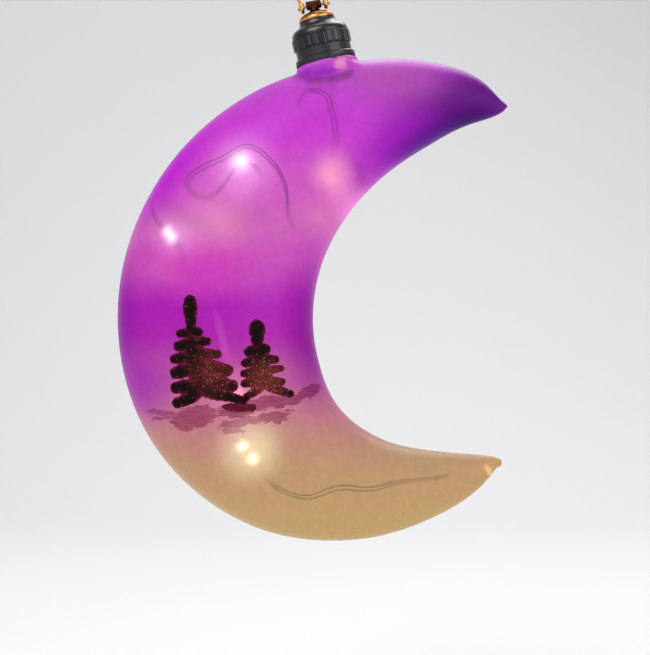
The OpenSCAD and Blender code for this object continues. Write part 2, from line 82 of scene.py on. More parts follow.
class NodeSheet:
    """A material's node tree, with short calls for the nodes that the finishes share."""

    def __init__(self, name: str) -> None:
        """Starts an empty material.

        Args:
            name: The material's name.
        """
        self.material = bpy.data.materials.new(name)
        self.material.use_nodes = True
        self.tree = self.material.node_tree
        self.tree.nodes.clear()
        self.output = self.tree.nodes.new("ShaderNodeOutputMaterial")

    def add(
        self, kind: str, inputs: dict[str | int, object] | None = None, **settings: object
    ) -> bpy.types.Node:
        """Adds a node, sets its own settings and feeds its inputs.

        Args:
            kind: The node's type, without the ShaderNode prefix.
            inputs: Values or sockets, by the name or the number of the input.
            **settings: Attributes of the node.

        Returns:
            The node.
        """
        node = self.tree.nodes.new(f"ShaderNode{kind}")
        for key, value in settings.items():
            setattr(node, key, value)
        for key, value in (inputs or {}).items():
            self.feed(node.inputs[key], value)
        return node

    def feed(self, target: Socket, value: object) -> None:
        """Links a socket to an input, or sets the input's own value.

        Args:
            target: The input.
            value: A socket, a number, a vector or a colour.
        """
        if isinstance(value, Socket):
            self.tree.links.new(value, target)
        elif target.type == "RGBA" and len(value) == 3:
            target.default_value = (*value, 1.0)
        else:
            target.default_value = value

    def vector(self, operation: str, a: object, b: object) -> Socket:
        """One step of vector arithmetic.

        Args:
            operation: Blender's name of the step, such as ADD.
            a: First vector or socket.
            b: Second vector or socket, or the factor that SCALE takes.

        Returns:
            The result's socket.
        """
        node = self.add("VectorMath", {0: a}, operation=operation)
        self.feed(node.inputs["Scale" if operation == "SCALE" else 1], b)
        return node.outputs["Value" if operation == "DISTANCE" else "Vector"]

    def math(self, operation: str, a: object, b: object = 0.0, c: object = 0.0) -> Socket:
        """One step of arithmetic, by Blender's name of it, such as MULTIPLY_ADD."""
        return self.add("Math", {0: a, 1: b, 2: c}, operation=operation).outputs[0]

    def place(self, origin: Vector | None = None, scale: float = 1 / MM) -> Socket:
        """The object's own coordinates.

        Args:
            origin: The point that becomes zero, in metres.
            scale: What the coordinates are multiplied by; the default gives millimetres.

        Returns:
            The vector socket.
        """
        coordinates = self.add("TexCoord").outputs["Object"]
        about = self.vector("SUBTRACT", coordinates, tuple(origin or (0.0, 0.0, 0.0)))
        return self.vector("SCALE", about, scale)

    def stretch(self, vector: Socket, factors: Point, turn: Point = (0.0, 0.0, 0.0)) -> Socket:
        """Scales a vector by different factors, after turning it by Euler angles in degrees."""
        angles = [math.radians(a) for a in turn]
        return self.add("Mapping", {"Vector": vector, "Rotation": angles, "Scale": factors}).outputs[0]

    def split(self, vector: Socket) -> tuple[Socket, Socket, Socket]:
        """The X, Y and Z of a vector."""
        return tuple(self.add("SeparateXYZ", {0: vector}).outputs)

    def join(self, x: object, y: object, z: object) -> Socket:
        """A vector of three values."""
        return self.add("CombineXYZ", {0: x, 1: y, 2: z}).outputs[0]

    def distance(self, vector: Socket, point: Point) -> Socket:
        """How far a vector is from a point."""
        return self.vector("DISTANCE", vector, point)

    def reach(self, flat: Socket, oval: Oval) -> Socket:
        """How far a place is from the middle of an oval, where the oval's edge is 1.

        Args:
            flat: The place about the bay, with no Y.
            oval: The oval.

        Returns:
            The distance's socket.
        """
        inputs = {
            "Vector": flat,
            "Location": (oval.x, 0.0, oval.z),
            "Rotation": (0.0, -math.radians(oval.turn), 0.0),
            "Scale": (oval.long, 1.0, oval.short),
        }
        local = self.add("Mapping", inputs, vector_type="TEXTURE").outputs[0]
        return self.distance(local, (0.0, 0.0, 0.0))

    def fade(self, value: Socket, start: float, end: float, low: float = 0.0, high: float = 1.0) -> Socket:
        """Goes smoothly from low to high while value goes from start to end."""
        limits = {"From Min": start, "From Max": end, "To Min": low, "To Max": high}
        return self.add("MapRange", {"Value": value, **limits}, interpolation_type="SMOOTHSTEP").outputs[0]

    def noise(self, vector: Socket, scale: float, detail: float = 3.0, rough: float = 0.5) -> Socket:
        """Cloud noise about 0.5, with scale features per unit of the vector."""
        inputs = {"Vector": vector, "Scale": scale, "Detail": detail, "Roughness": rough}
        return self.add("TexNoise", inputs).outputs["Fac"]

    def sway(self, noise: Socket, reach: float) -> Socket:
        """Noise from 0 to 1 made to go from -reach to reach."""
        return self.math("MULTIPLY_ADD", noise, 2 * reach, -reach)

    def cells(self, vector: Socket, scale: float, feature: str = "F1") -> bpy.types.Node:
        """A node of Voronoi cells, with scale of them per unit of the vector."""
        return self.add("TexVoronoi", {"Vector": vector, "Scale": scale}, feature=feature)

    def blend(self, share: object, a: object, b: object) -> Socket:
        """Mixes two colours, with this share of the second."""
        return self.add("Mix", {"Factor": share, 6: a, 7: b}, data_type="RGBA").outputs[2]

    def ramp(self, share: Socket, stops: Sequence[tuple[float, Colour]]) -> Socket:
        """A colour ramp.

        Args:
            share: The place on the ramp, from 0 to 1.
            stops: The places of its colours, in order.

        Returns:
            The colour's socket.
        """
        node = self.add("ValToRGB", {0: share})
        node.color_ramp.interpolation = "EASE"
        elements = node.color_ramp.elements
        while len(elements) < len(stops):
            elements.new(0.5)
        for element, (at, colour) in zip(elements, stops):
            element.position = at
            element.color = (*colour, 1.0)
        return node.outputs["Color"]

    def bump(self, height: Socket, strength: float, depth: float, normal: Socket | None = None) -> Socket:
        """A normal that follows a height map.

        Args:
            height: The height, from 0 to 1.
            strength: How strongly it shows.
            depth: The real depth from 0 to 1, in millimetres.
            normal: An earlier bump to build on.

        Returns:
            The normal's socket.
        """
        inputs = {"Height": height, "Strength": strength, "Distance": depth * MM}
        if normal is not None:
            inputs["Normal"] = normal
        return self.add("Bump", inputs).outputs[0]

    def surface(self, **sockets: object) -> bpy.types.Material:
        """Finishes the material with one Principled shader.

        Args:
            **sockets: Values or sockets by the shader's socket names, with _ for a space.

        Returns:
            The material.
        """
        inputs = {key.replace("_", " "): value for key, value in sockets.items()}
        shader = self.add("BsdfPrincipled", inputs)
        self.feed(self.output.inputs["Surface"], shader.outputs[0])
        return self.material


def tint(red: int, green: int, blue: int) -> Colour:
    """Turns a display colour into a linear one.

    Args:
        red: Its red, from 0 to 255.
        green: Its green, from 0 to 255.
        blue: Its blue, from 0 to 255.

    Returns:
        The linear colour, from 0 to 1.
    """

    def linear(value: int) -> float:
        """One channel made linear."""
        share = value / 255
        return share / 12.92 if share <= 0.04045 else ((share + 0.055) / 1.055) ** 2.4

    return linear(red), linear(green), linear(blue)


# --------------------------------------------------------------------------------------------
# Bench work: selecting, joining and finishing meshes
# --------------------------------------------------------------------------------------------


def new_object(name: str, data: bpy.types.ID) -> bpy.types.Object:
    """Puts new data into the scene.

    Args:
        name: The object's name.
        data: Its curve, camera or light.

    Returns:
        The object.
    """
    made = bpy.data.objects.new(name, data)
    bpy.context.scene.collection.objects.link(made)
    return made


def pick(*pieces: bpy.types.Object) -> None:
    """Leaves only these objects selected, the first one active.

    Args:
        *pieces: The objects.
    """
    if bpy.context.object is not None and bpy.context.object.mode != "OBJECT":
        bpy.ops.object.mode_set(mode="OBJECT")
    bpy.ops.object.select_all(action="DESELECT")
    for piece in pieces:
        piece.select_set(True)
    bpy.context.view_layer.objects.active = pieces[0]


def pick_inside(piece: bpy.types.Object, kind: str, wanted: Callable[[MeshPart], bool]) -> None:
    """Opens a piece in edit mode with some of its vertices or edges selected.

    Args:
        piece: The mesh object.
        kind: VERT or EDGE.
        wanted: Whether a vertex or an edge is selected.
    """
    pick(piece)
    bpy.ops.object.mode_set(mode="EDIT")
    bpy.ops.mesh.select_mode(type=kind)
    bpy.ops.mesh.select_all(action="DESELECT")
    bpy.ops.object.mode_set(mode="OBJECT")
    for part in piece.data.vertices if kind == "VERT" else piece.data.edges:
        part.select = wanted(part)
    bpy.ops.object.mode_set(mode="EDIT")


def settle(piece: bpy.types.Object) -> bpy.types.Object:
    """Moves a piece's place into its mesh, so that its object sits at the origin.

    Args:
        piece: The object.

    Returns:
        The same object.
    """
    pick(piece)
    bpy.ops.object.transform_apply(location=True, rotation=True, scale=True)
    return piece


def ball(radius: float, sides: int, rings: int, **placing: Vector | Point) -> bpy.types.Object:
    """Adds a ball, or an egg shape where it is scaled.

    Args:
        radius: Its radius, in millimetres.
        sides: How many faces go round it.
        rings: How many faces go from pole to pole.
        **placing: Its location, rotation and scale.

    Returns:
        The ball's mesh object, settled.
    """
    bpy.ops.object.select_all(action="DESELECT")
    bpy.ops.mesh.primitive_uv_sphere_add(segments=sides, ring_count=rings, radius=radius * MM, **placing)
    return settle(bpy.context.object)


def melted(name: str, pieces: Sequence[bpy.types.Object], voxel: float, rounds: int) -> bpy.types.Object:
    """Makes one smooth skin of pieces that overlap.

    Args:
        name: The new object's name.
        pieces: The pieces, which are used up.
        voxel: The size of the skin's faces, in millimetres.
        rounds: How many times it is smoothed.

    Returns:
        The skin's mesh object.
    """
    pick(*pieces)
    bpy.ops.object.join()
    skin = bpy.context.object
    skin.name = skin.data.name = name
    finish_with(skin, "REMESH", mode="VOXEL", voxel_size=voxel * MM)
    finish_with(skin, "SMOOTH", factor=0.5, iterations=rounds)
    return skin


def finish_with(piece: bpy.types.Object, kind: str, **settings: object) -> None:
    """Adds a modifier and applies it.

    Args:
        piece: The object to change.
        kind: Blender's type of modifier.
        **settings: Attributes of the modifier.
    """
    pick(piece)
    modifier = piece.modifiers.new(kind.lower(), kind)
    for key, value in settings.items():
        setattr(modifier, key, value)
    bpy.ops.object.modifier_apply(modifier=modifier.name)


def cut_or_join(piece: bpy.types.Object, other: bpy.types.Object, operation: str) -> None:
    """Joins or cuts a piece with another one, and merges the slivers along the seam.

    Without the merging, the next join can leave a stray face.

    Args:
        piece: The mesh object to change.
        other: The mesh object it is joined or cut with, which is used up.
        operation: UNION or DIFFERENCE.
    """
    finish_with(piece, "BOOLEAN", object=other, operation=operation, solver="EXACT")
    bpy.data.objects.remove(other)
    finish_with(piece, "WELD", merge_threshold=SLIVER * MM)


def smooth(piece: bpy.types.Object, degrees: float) -> None:
    """Shades a piece smooth, with sharp edges where faces meet at more than that angle."""
    pick(piece)
    bpy.ops.object.shade_smooth_by_angle(angle=math.radians(degrees))


def face_out(piece: bpy.types.Object) -> None:
    """Merges a piece's doubles and turns its faces outwards.

    Args:
        piece: The mesh object.
    """
    pick(piece)
    bpy.ops.object.mode_set(mode="EDIT")
    bpy.ops.mesh.select_all(action="SELECT")
    bpy.ops.mesh.remove_doubles(threshold=1e-6)
    bpy.ops.mesh.normals_make_consistent(inside=False)
    bpy.ops.object.mode_set(mode="OBJECT")


def fit(piece: bpy.types.Object, body: str, slot: str, material: bpy.types.Material, *nodes: str) -> None:
    """Dresses a piece, fixes it to its body and hides the CAD nodes that it replaces.

    Args:
        piece: The finished mesh.
        body: The CAD body that it rides on.
        slot: The record's material slot; not used.
        material: What it is made of.
        *nodes: The CAD nodes that it replaces.
    """
    piece.data.materials.clear()
    piece.data.materials.append(material)
    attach(piece, body)
    if nodes:
        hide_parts(*nodes)
    LOG.info("%s: %d faces on %s", piece.name, len(piece.data.polygons), body)


# --------------------------------------------------------------------------------------------
# Shared measures
# --------------------------------------------------------------------------------------------


def eased(values: Sequence[float | Vector], at: float) -> float | Vector:
    """A smooth curve through numbers or points.

    Args:
        values: What it passes through.
        at: Where on the curve: 0 is the first of the values, 1 the second, and so on.

    Returns:
        The number or the point there.
    """
    last = len(values) - 1
    ends = (2 * values[0] - values[1], *values, 2 * values[last] - values[last - 1])
    i = min(int(at), last - 1)
    f = at - i
    a, b, c, d = ends[i : i + 4]
    return (2 * b + (c - a) * f + (2 * a - 5 * b + 4 * c - d) * f**2 + (3 * b - a - 3 * c + d) * f**3) / 2


def outward(degrees: float) -> Vector:
    """The direction out of the middle of the bay, turned up from +X."""
    angle = math.radians(degrees)
    return Vector((math.cos(angle), 0.0, math.sin(angle)))


@dataclass(frozen=True)
class NeckAxis:
    """The leaning axis that the neck, cup, cap and loop share. Heights are from the glass rim."""

    rim: Vector
    tilt: float = math.radians(12.5)
    outer_r: float = 8.7
    bore_r: float = 7.3
    seal_t: float = 0.8
    cup_bottom: float = -5.0
    floor_top: float = -4.0
    gland_l: float = 1.4

    @classmethod
    def from_frame(cls) -> "NeckAxis":
        """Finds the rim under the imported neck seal.

        Returns:
            The axis.
        """
        low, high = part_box("neck_seal")
        found = cls(rim=Vector((0.0, 0.0, 0.0)))
        return cls(rim=(low + high) / 2 - found.up * (found.seal_t / 2 * MM))

    @property
    def up(self) -> Vector:
        """Along the axis, away from the moon."""
        return Vector((-math.sin(self.tilt), 0.0, math.cos(self.tilt)))

    def at(self, height: float) -> Vector:
        """The point of the axis at a height, in metres."""
        return self.rim + self.up * height * MM


@dataclass(frozen=True)
class Crescent:
    """The crescent's loft about the middle of the bay: the same rule as the CAD shell's."""

    bay_r: float = 33.5
    belly_w: float = 57.0
    belly_d: float = 46.0
    wall_t: float = 1.5
    upper_tip: float = 68.7
    lower_tip: float = 292.9
    neck_a: float = 114.0
    neck_rise: float = 1.1
    edge: tuple[float, ...] = (
        1.80, 1.67, 1.52, 1.31, 1.15, 1.04, 1.00, 1.02, 1.10, 1.23, 1.28, 1.30, 1.36, 1.44, 1.51,
    )
    width: tuple[float, ...] = (
        0, 0.10, 0.27, 0.45, 0.61, 0.79, 0.93, 1.00, 0.955, 0.763, 0.544, 0.36, 0.21, 0.08, 0,
    )

    def swing(self, s: float) -> float:
        """The direction of station s from the middle of the bay, in degrees."""
        return self.upper_tip + (self.lower_tip - self.upper_tip) * (1 - math.cos(math.pi * s)) / 2

    def along(self, degrees: float) -> float:
        """The station in a direction."""
        share = (degrees - self.upper_tip) / (self.lower_tip - self.upper_tip)
        return math.acos(max(-1.0, min(1.0, 1 - 2 * share))) / math.pi

    def half_width(self, s: float) -> float:
        """Half the crescent's width at station s."""
        return self.belly_w / 2 * eased(self.width, s * (len(self.width) - 1))

    def half_depth(self, s: float) -> float:
        """Half its depth at station s."""
        return self.belly_d / 2 * eased(self.width, s * (len(self.width) - 1))

    def spine(self, s: float) -> float:
        """How far the middle of station s is from the middle of the bay."""
        return self.bay_r * eased(self.edge, s * (len(self.edge) - 1)) + self.half_width(s)

    def rim_radius(self) -> float:
        """How far the neck's rim is from the middle of the bay."""
        s = self.along(self.neck_a)
        return self.spine(s) + self.half_width(s) + self.neck_rise

    def front(self, x: float, z: float) -> float:
        """The Y of the shell's front.

        Args:
            x: The place about the bay.
            z: The place about the bay.

        Returns:
            The Y, in millimetres.
        """
        s = self.along(math.degrees(math.atan2(z, x)) % 360)
        share = (math.hypot(x, z) - self.spine(s)) / max(self.half_width(s), 0.01)
        return -self.half_depth(s) * math.sqrt(max(0.0, 1 - share**2))


CRESCENT = Crescent()
NECK = NeckAxis.from_frame()
BAY = NECK.rim - outward(CRESCENT.neck_a) * (CRESCENT.rim_radius() * MM)


def about_bay(point: Sequence[float]) -> Vector:
    """A point about the bay, in millimetres, as a place in metres."""
    return BAY + Vector(point) * MM


# --------------------------------------------------------------------------------------------
# The lamp string
# --------------------------------------------------------------------------------------------


class Lamp(Enum):
    """The colours in which the lamps show through the glass."""

    WHITE = (1.0, 0.9, 0.95)
    CREAM = (1.0, 1.0, 0.72)
    AMBER = (1.0, 0.78, 0.16)
    ROSE = (1.0, 0.5, 0.55)


@dataclass(frozen=True)
class LampGlow:
    """One lamp of the string, and the glow that it lays on the glass.

    skin and deep are the brightness on the outside and on the inside of the glass, reach is how
    far they go, and chip is how bright the lamp itself looks. A lamp close to the glass has a hot
    spot on it as well, of brightness hot, which fades out at near, or one at each end of its drop.
    shift moves its glow over the glass.
    """

    at: int
    lamp: Lamp
    skin: float
    deep: float
    reach: float
    chip: float
    hot: float = 0.0
    near: float = 0.0
    split: float = 0.0
    shift: tuple[float, float] = (0.0, 0.0)

    def spots(self) -> tuple[int, ...]:
        """The sides of its drop that have a hot spot, where 0 is the middle."""
        return (-1, 1) if self.split else (0,) if self.near else ()


@dataclass(frozen=True)
class Glare:
    """A spot about the bay where a lamp's light swallows the wire that passes it, painted as a
    glow on the wire.
    """

    place: Point
    reach: float
    strength: float


@dataclass
class LampString:
    """Twin enamelled wire with a drop of resin round each lamp, from the gland to its last lamp.

    Each strand keeps closest from the middle line, and parts to widest from it at ring parted_at
    and at every parted_every rings from there. The line starts with two knots that lead out of the
    gland, and goes on with those of the route. The wire gets a painted glow in place of the light of
    the frosted glass in front of it: a place that is less than painted_haze_from deep in the moon has
    none, and painted_haze_over further in the glow is full. A drop is drop_swell fuller than a
    stretched ball, but tapers like one from drop_taper of the way to its ends.
    """

    wire_width: float = 1.1
    strand_d: float = 0.34
    closest: float = 0.22
    widest: float = 0.56
    parted_at: float = 232.0
    parted_every: float = 88.0
    settling: float = 0.25
    tucked_in: float = 0.02
    drop_d: float = 2.2
    drop_l: float = 4.4
    drop_swell: float = 0.22
    drop_taper: float = 0.8
    drop_sides: int = 24
    drop_rings: int = 16
    ring_every: float = 0.8
    painted_haze_from: float = 5.0
    painted_haze_over: float = 15.0
    route: tuple[Point, ...] = (
        (-28.7, 0.5, 58.8), (-30.8, 4.5, 55.5), (-35, 5, 54.3), (-38.6, 0, 56.3), (-36, -6.5, 59.5),
        (-31, -8.5, 58.3), (-29.3, -9.5, 54), (-28.3, -8.5, 49.5), (-28, -3, 44.5),
        (-30.5, 6, 41.5), (-34.5, 13, 40.5), (-37.5, 15, 37.5), (-37.5, 15, 34.5),
        (-33.5, 13.5, 32.5), (-29, 11, 36), (-23, 1, 39.5), (-20.5, -1, 35), (-24, 1.5, 30),
        (-32.5, 7.5, 24), (-38, 4, 19.5), (-41.5, -6, 23.5), (-42, -15, 31), (-45.5, -15.5, 38),
        (-52.5, -14, 43), (-60, -13.5, 39.5), (-66.5, -12.5, 36.5), (-70, -9, 33.5),
        (-68.5, -8, 30), (-64, -9, 29), (-59.5, -14, 32), (-54.5, -14.5, 38.5), (-49.5, 0, 36),
        (-53, 17, 26.5), (-61.5, 18, 22), (-71, 15, 23.5), (-78, 5, 28.5), (-80, -4, 27),
        (-78.5, -10, 22), (-74.5, -13.5, 18), (-72, -8, 13.5), (-72, 0, 10), (-78, 12.5, 8.5),
        (-72, 17.5, 0), (-61.5, 10, -3), (-56.5, 10, -27.5), (-59, -8.5, -36.5), (-54, -16, -41.5),
        (-50, -14, -48), (-44, -12.5, -53.5), (-36, -11.5, -56), (-27, -10, -53.5), (-18, -9, -54),
        (-9.5, -3, -52.5), (-1, 1, -52), (5, 2, -51),
    )
    glares: tuple[Glare, ...] = (
        Glare((-57.5, -14.0, 34.5), 6.5, 1.4),
        Glare((-51.5, -15.0, -45.5), 10.0, 2.2),
        Glare((-57.0, -11.5, -38.5), 5.0, 2.5),
    )
    lamps: tuple[LampGlow, ...] = (
        LampGlow(14, Lamp.AMBER, skin=0.20, deep=0.25, reach=8.5, chip=0.12),
        LampGlow(18, Lamp.AMBER, skin=0.03, deep=0.05, reach=8.0, chip=0.05),
        LampGlow(30, Lamp.WHITE, skin=0.10, deep=0.30, reach=12.5, chip=0.1, hot=0.85, near=8.6),
        LampGlow(33, Lamp.AMBER, skin=0.06, deep=0.12, reach=12.5, chip=0.06),
        LampGlow(38, Lamp.WHITE, skin=0.10, deep=0.22, reach=8.5, chip=0.08, hot=0.75, near=5.2, split=1.25),
        LampGlow(41, Lamp.AMBER, skin=0.03, deep=0.04, reach=7.0, chip=0.05),
        LampGlow(44, Lamp.ROSE, skin=0.08, deep=0.12, reach=12.0, chip=0.3),
        LampGlow(
            46, Lamp.CREAM, skin=0.22, deep=0.3, reach=12.5, chip=0.06, hot=0.85, near=4.8, split=2.4,
            shift=(1.4, -1.4),
        ),
    )
    knots: list[Vector] = field(default_factory=list)
    points: list[Vector] = field(default_factory=list)

    def __post_init__(self) -> None:
        """Works out the whole line from the gland to the last lamp."""
        leaving = [NECK.at(NECK.floor_top - self.tucked_in), NECK.at(NECK.cup_bottom - NECK.gland_l)]
        self.knots = leaving + [about_bay(p) for p in self.route]
        steps = 8
        fine = [eased(self.knots, i / steps) for i in range(steps * (len(self.knots) - 1) + 1)]
        self.points = self._spaced(fine, self.ring_every * MM)

    @staticmethod
    def _spaced(line: list[Vector], step: float) -> list[Vector]:
        """Spaces a line's points evenly.

        Args:
            line: The line.
            step: The new distance from point to point, in metres.

        Returns:
            The same line with a point every step.
        """
        out, left = [line[0]], step
        for a, b in zip(line, line[1:]):
            gap = (b - a).length
            while left <= gap:
                out.append(a.lerp(b, left / gap))
                left += step
            left -= gap
        if (out[-1] - line[-1]).length > step / 4:
            out.append(line[-1])
        return out

    def length(self) -> float:
        """The string's real length, in metres."""
        return sum((b - a).length for a, b in zip(self.points, self.points[1:]))

    @staticmethod
    def _knot(lamp: LampGlow) -> int:
        """The number of a lamp's knot, counted from the gland."""
        return lamp.at + 2

    def lamp_place(self, lamp: LampGlow) -> Vector:
        """Where a lamp sits."""
        return self.knots[self._knot(lamp)]

    def lamp_way(self, lamp: LampGlow) -> Vector:
        """The direction of the wire through a lamp."""
        before, after = self._knot(lamp) - 0.1, min(self._knot(lamp) + 0.1, len(self.knots) - 1)
        return (eased(self.knots, after) - eased(self.knots, before)).normalized()

    def _strand(self, side: int) -> list[Vector]:
        """The centreline of one strand, which lies beside the other and parts from it now and then.

        Args:
            side: -1 for one strand and 1 for the other.

        Returns:
            Its points, in metres.
        """
        normal, out, last = Vector((0.1, 0.2, 1.0)), [], len(self.points) - 1
        for i, p in enumerate(self.points):
            way = (self.points[min(i + 1, last)] - self.points[max(i - 1, 0)]).normalized()
            flat = way.cross(Vector((0.0, 1.0, 0.0)))
            normal += self.settling * flat * (1 if normal.dot(flat) > 0 else -1)
            normal = (normal - way * normal.dot(way)).normalized()
            parted = 0.5 + 0.5 * math.cos(2 * math.pi * (i - self.parted_at) / self.parted_every)
            out.append(p + normal * side * (self.closest + (self.widest - self.closest) * parted) * MM)
        return out

    def build_wire(self) -> bpy.types.Object:
        """Sweeps both strands and makes them one mesh.

        Returns:
            The wire's mesh object.
        """
        data = bpy.data.curves.new("lamp_wire", "CURVE")
        data.dimensions = "3D"
        data.bevel_depth = self.strand_d / 2 * MM
        data.bevel_resolution = 1
        data.use_fill_caps = True
        for side in (-1, 1):
            line = self._strand(side)
            spline = data.splines.new("POLY")
            spline.points.add(len(line) - 1)
            for point, place in zip(spline.points, line):
                point.co = (*place, 1.0)
        wire = new_object("lamp_wire", data)
        pick(wire)
        bpy.ops.object.convert(target="MESH")
        smooth(wire, 60)
        # Painted light: each point keeps how strongly the wire glows where the glass and lamps veil it.
        painted_haze = wire.data.attributes.new("painted_haze", "FLOAT", "POINT")
        for vertex, value in zip(wire.data.vertices, painted_haze.data):
            value.value = self._painted_haze((vertex.co - BAY) / MM)
        return wire

    def _painted_haze(self, place: Vector) -> float:
        """How strongly the wire glows with painted light where the frosted glass and the lamps veil it.

        Args:
            place: A place on the wire, about the bay.

        Returns:
            The strength of the painted veil of light over it.
        """
        deep = (place.y - CRESCENT.front(place.x, place.z) - self.painted_haze_from) / self.painted_haze_over
        deep = min(1.0, max(0.0, deep))
        dazzle = max(g.strength * (1 - (place - Vector(g.place)).length / g.reach) for g in self.glares)
        return deep * deep * (3 - 2 * deep) + max(0.0, dazzle)

    def _fuller(self, share: float) -> float:
        """How much wider than a ball the drop is, though never wider than its own middle.

        Args:
            share: How far along the drop, where the middle is 0 and each end is 1.

        Returns:
            The factor.
        """
        swell = 1 + self.drop_swell * math.sin(math.pi * min(1.0, share / self.drop_taper))
        up_to_middle = 0.999 / math.sqrt(max(1 - share**2, 1e-6))
        return min(swell, up_to_middle)

    def build_drop(self, index: int, lamp: LampGlow) -> bpy.types.Object:
        """Draws a ball out into a drop along the wire, thin at both ends.

        Args:
            index: The lamp's number.
            lamp: The lamp.

        Returns:
            The drop's mesh object.
        """
        stretched = (1.0, 1.0, self.drop_l / self.drop_d)
        drop = ball(self.drop_d / 2, self.drop_sides, self.drop_rings, scale=stretched)
        drop.name = drop.data.name = f"lamp_drop_{index}"
        core = drop.data.attributes.new("core", "FLOAT", "POINT")
        for vertex, value in zip(drop.data.vertices, core.data):
            share = abs(vertex.co.z) / (self.drop_l / 2 * MM)
            fuller = self._fuller(share)
            vertex.co.x *= fuller
            vertex.co.y *= fuller
            value.value = 1 - share
        way = self.lamp_way(lamp).to_track_quat("Z", "Y")
        drop.matrix_world = Matrix.LocRotScale(self.lamp_place(lamp), way, None)
        settle(drop)
        bpy.ops.object.shade_smooth()
        return drop

    def build(self) -> None:
        wire = self.build_wire()
        fit(wire, "moon", "lamp_wire", self.wire_finish(), "light_wire")
        for index, lamp in enumerate(self.lamps, 1):
            drop = self.build_drop(index, lamp)
            fit(drop, "moon", "lamp_resin", self.resin_finish(lamp.chip), f"led_bead_{index}")
        LOG.info("lamp string %.3f m long", self.length())

    @staticmethod
    def wire_finish() -> bpy.types.Material:
        """Copper under dark enamel, rubbed through in places, with a painted glow over it that
        stands in for the lit glass and the lamps' glare.

        Returns:
            The material.
        """
        sheet = NodeSheet("lamp_wire_enamel")
        place = sheet.place()
        _, _, z = sheet.split(sheet.place(BAY))
        # Painted light: the wire glows in the colour of the lit glass about it, cream low down, violet higher
        # up.
        painted_haze = sheet.blend(sheet.fade(z, -44.0, -26.0), (0.38, 0.28, 0.17), (0.38, 0.13, 0.34))
        painted_veil = sheet.add("Attribute", attribute_name="painted_haze").outputs["Fac"]
        wear = sheet.fade(sheet.noise(place, 0.9, 4), 0.52, 0.66)
        return sheet.surface(
            Base_Color=sheet.blend(wear, (0.035, 0.012, 0.02), (0.24, 0.09, 0.04)),
            Roughness=sheet.fade(wear, 0.0, 1.0, 0.34, 0.5),
            Metallic=0.4,
            Emission_Color=painted_haze,
            # Painted light: the glow is strongest where the glass veils the wire, and grows towards the
            # bottom.
            Emission_Strength=sheet.math("ADD", painted_veil, sheet.fade(z, -26.0, -44.0, 0.0, 0.2)),
            Normal=sheet.bump(sheet.noise(place, 6.0), 0.3, 0.02),
        )

    @staticmethod
    def resin_finish(power: float) -> bpy.types.Material:
        """Clear resin, brightest at the chip in its middle.

        Args:
            power: How bright the chip is.

        Returns:
            The material.
        """
        sheet = NodeSheet("lamp_resin_drop")
        core = sheet.add("Attribute", attribute_name="core").outputs["Fac"]
        return sheet.surface(
            Base_Color=sheet.blend(sheet.fade(core, 0.1, 0.8), (0.75, 0.42, 0.2), (1.0, 0.9, 0.7)),
            Roughness=0.12,
            Emission_Color=sheet.blend(sheet.fade(core, 0.1, 0.9), (0.6, 0.3, 0.12), (1.0, 0.93, 0.8)),
            Emission_Strength=6.0 * power,
            Normal=sheet.bump(sheet.noise(sheet.place(), 2.0), 0.25, 0.1),
        )


# --------------------------------------------------------------------------------------------
# The moon
# --------------------------------------------------------------------------------------------


@dataclass(frozen=True)
class ColourCloud(Oval):
    """A soft patch of colour on the glass, which fades outwards."""

    colour: Colour
    share: float = 1.0


@dataclass(frozen=True)
class Stroke(Oval):
    """One stroke of thin paint, and how much light it holds back."""

    strength: float = 1.0


@dataclass(frozen=True)
class GroundWash:
    """Thin mauve paint brushed across the glass under the pines, streaky and ragged at its ends.

    Its strokes waver by wobble. It fades in from the first Y of front_only to the second, so that
    the back has none.
    """

    strokes: tuple[Stroke, ...] = (
        Stroke(-76.5, -32.0, 5.0, 0.9, -6, 0.6),
        Stroke(-77.0, -33.6, 3.2, 0.6, 8, 0.7),
        Stroke(-67.5, -33.0, 7.0, 3.3, 14, 0.85),
        Stroke(-55.6, -31.4, 5.2, 1.8, 4, 1.4),
        Stroke(-47.5, -29.0, 13.5, 1.9, 8, 1.0),
        Stroke(-36.0, -26.4, 4.0, 1.8, 24, 0.9),
        Stroke(-51.0, -33.8, 11.5, 1.4, 11, 0.8),
        Stroke(-56.5, -36.8, 3.4, 0.9, 2, 0.7),
        Stroke(-43.5, -34.0, 2.4, 0.7, 12, 0.8),
        Stroke(-69.5, -36.8, 1.8, 0.6, 0, 0.8),
    )
    paint: Colour = (0.35, 0.11, 0.22)
    ragged: float = 0.55
    wobble: float = 1.6
    front_only: tuple[float, float] = (-4.0, -8.0)

    def veil(self, sheet: NodeSheet, place: Socket) -> Socket:
        """How much of each colour of light the paint lets through.

        Args:
            sheet: The glass's node tree.
            place: The place about the bay, in millimetres.

        Returns:
            The colour to multiply the glass's tint by.
        """
        x, y, z = sheet.split(place)
        flat = sheet.join(x, 0.0, z)
        wobble = sheet.sway(sheet.noise(flat, 0.45, 3), self.wobble)
        bent = sheet.join(x, 0.0, sheet.math("ADD", z, wobble))
        streaks = sheet.noise(sheet.stretch(flat, (0.3, 1.0, 2.6), (0, 9, 0)), 0.9, 4, 0.6)
        ragged = sheet.sway(streaks, self.ragged)
        body = 0.0
        for stroke in self.strokes:
            edge = sheet.math("ADD", sheet.reach(bent, stroke), ragged)
            held = sheet.fade(edge, 1.02, 0.86, 0.0, stroke.strength)
            body = sheet.math("MAXIMUM", body, held)
        body = sheet.math("MULTIPLY", body, sheet.fade(streaks, 0.3, 0.62, 1.15, 0.7))
        body = sheet.math("MULTIPLY", body, sheet.fade(y, *self.front_only))
        return sheet.join(*(sheet.math("POWER", channel, body) for channel in self.paint))


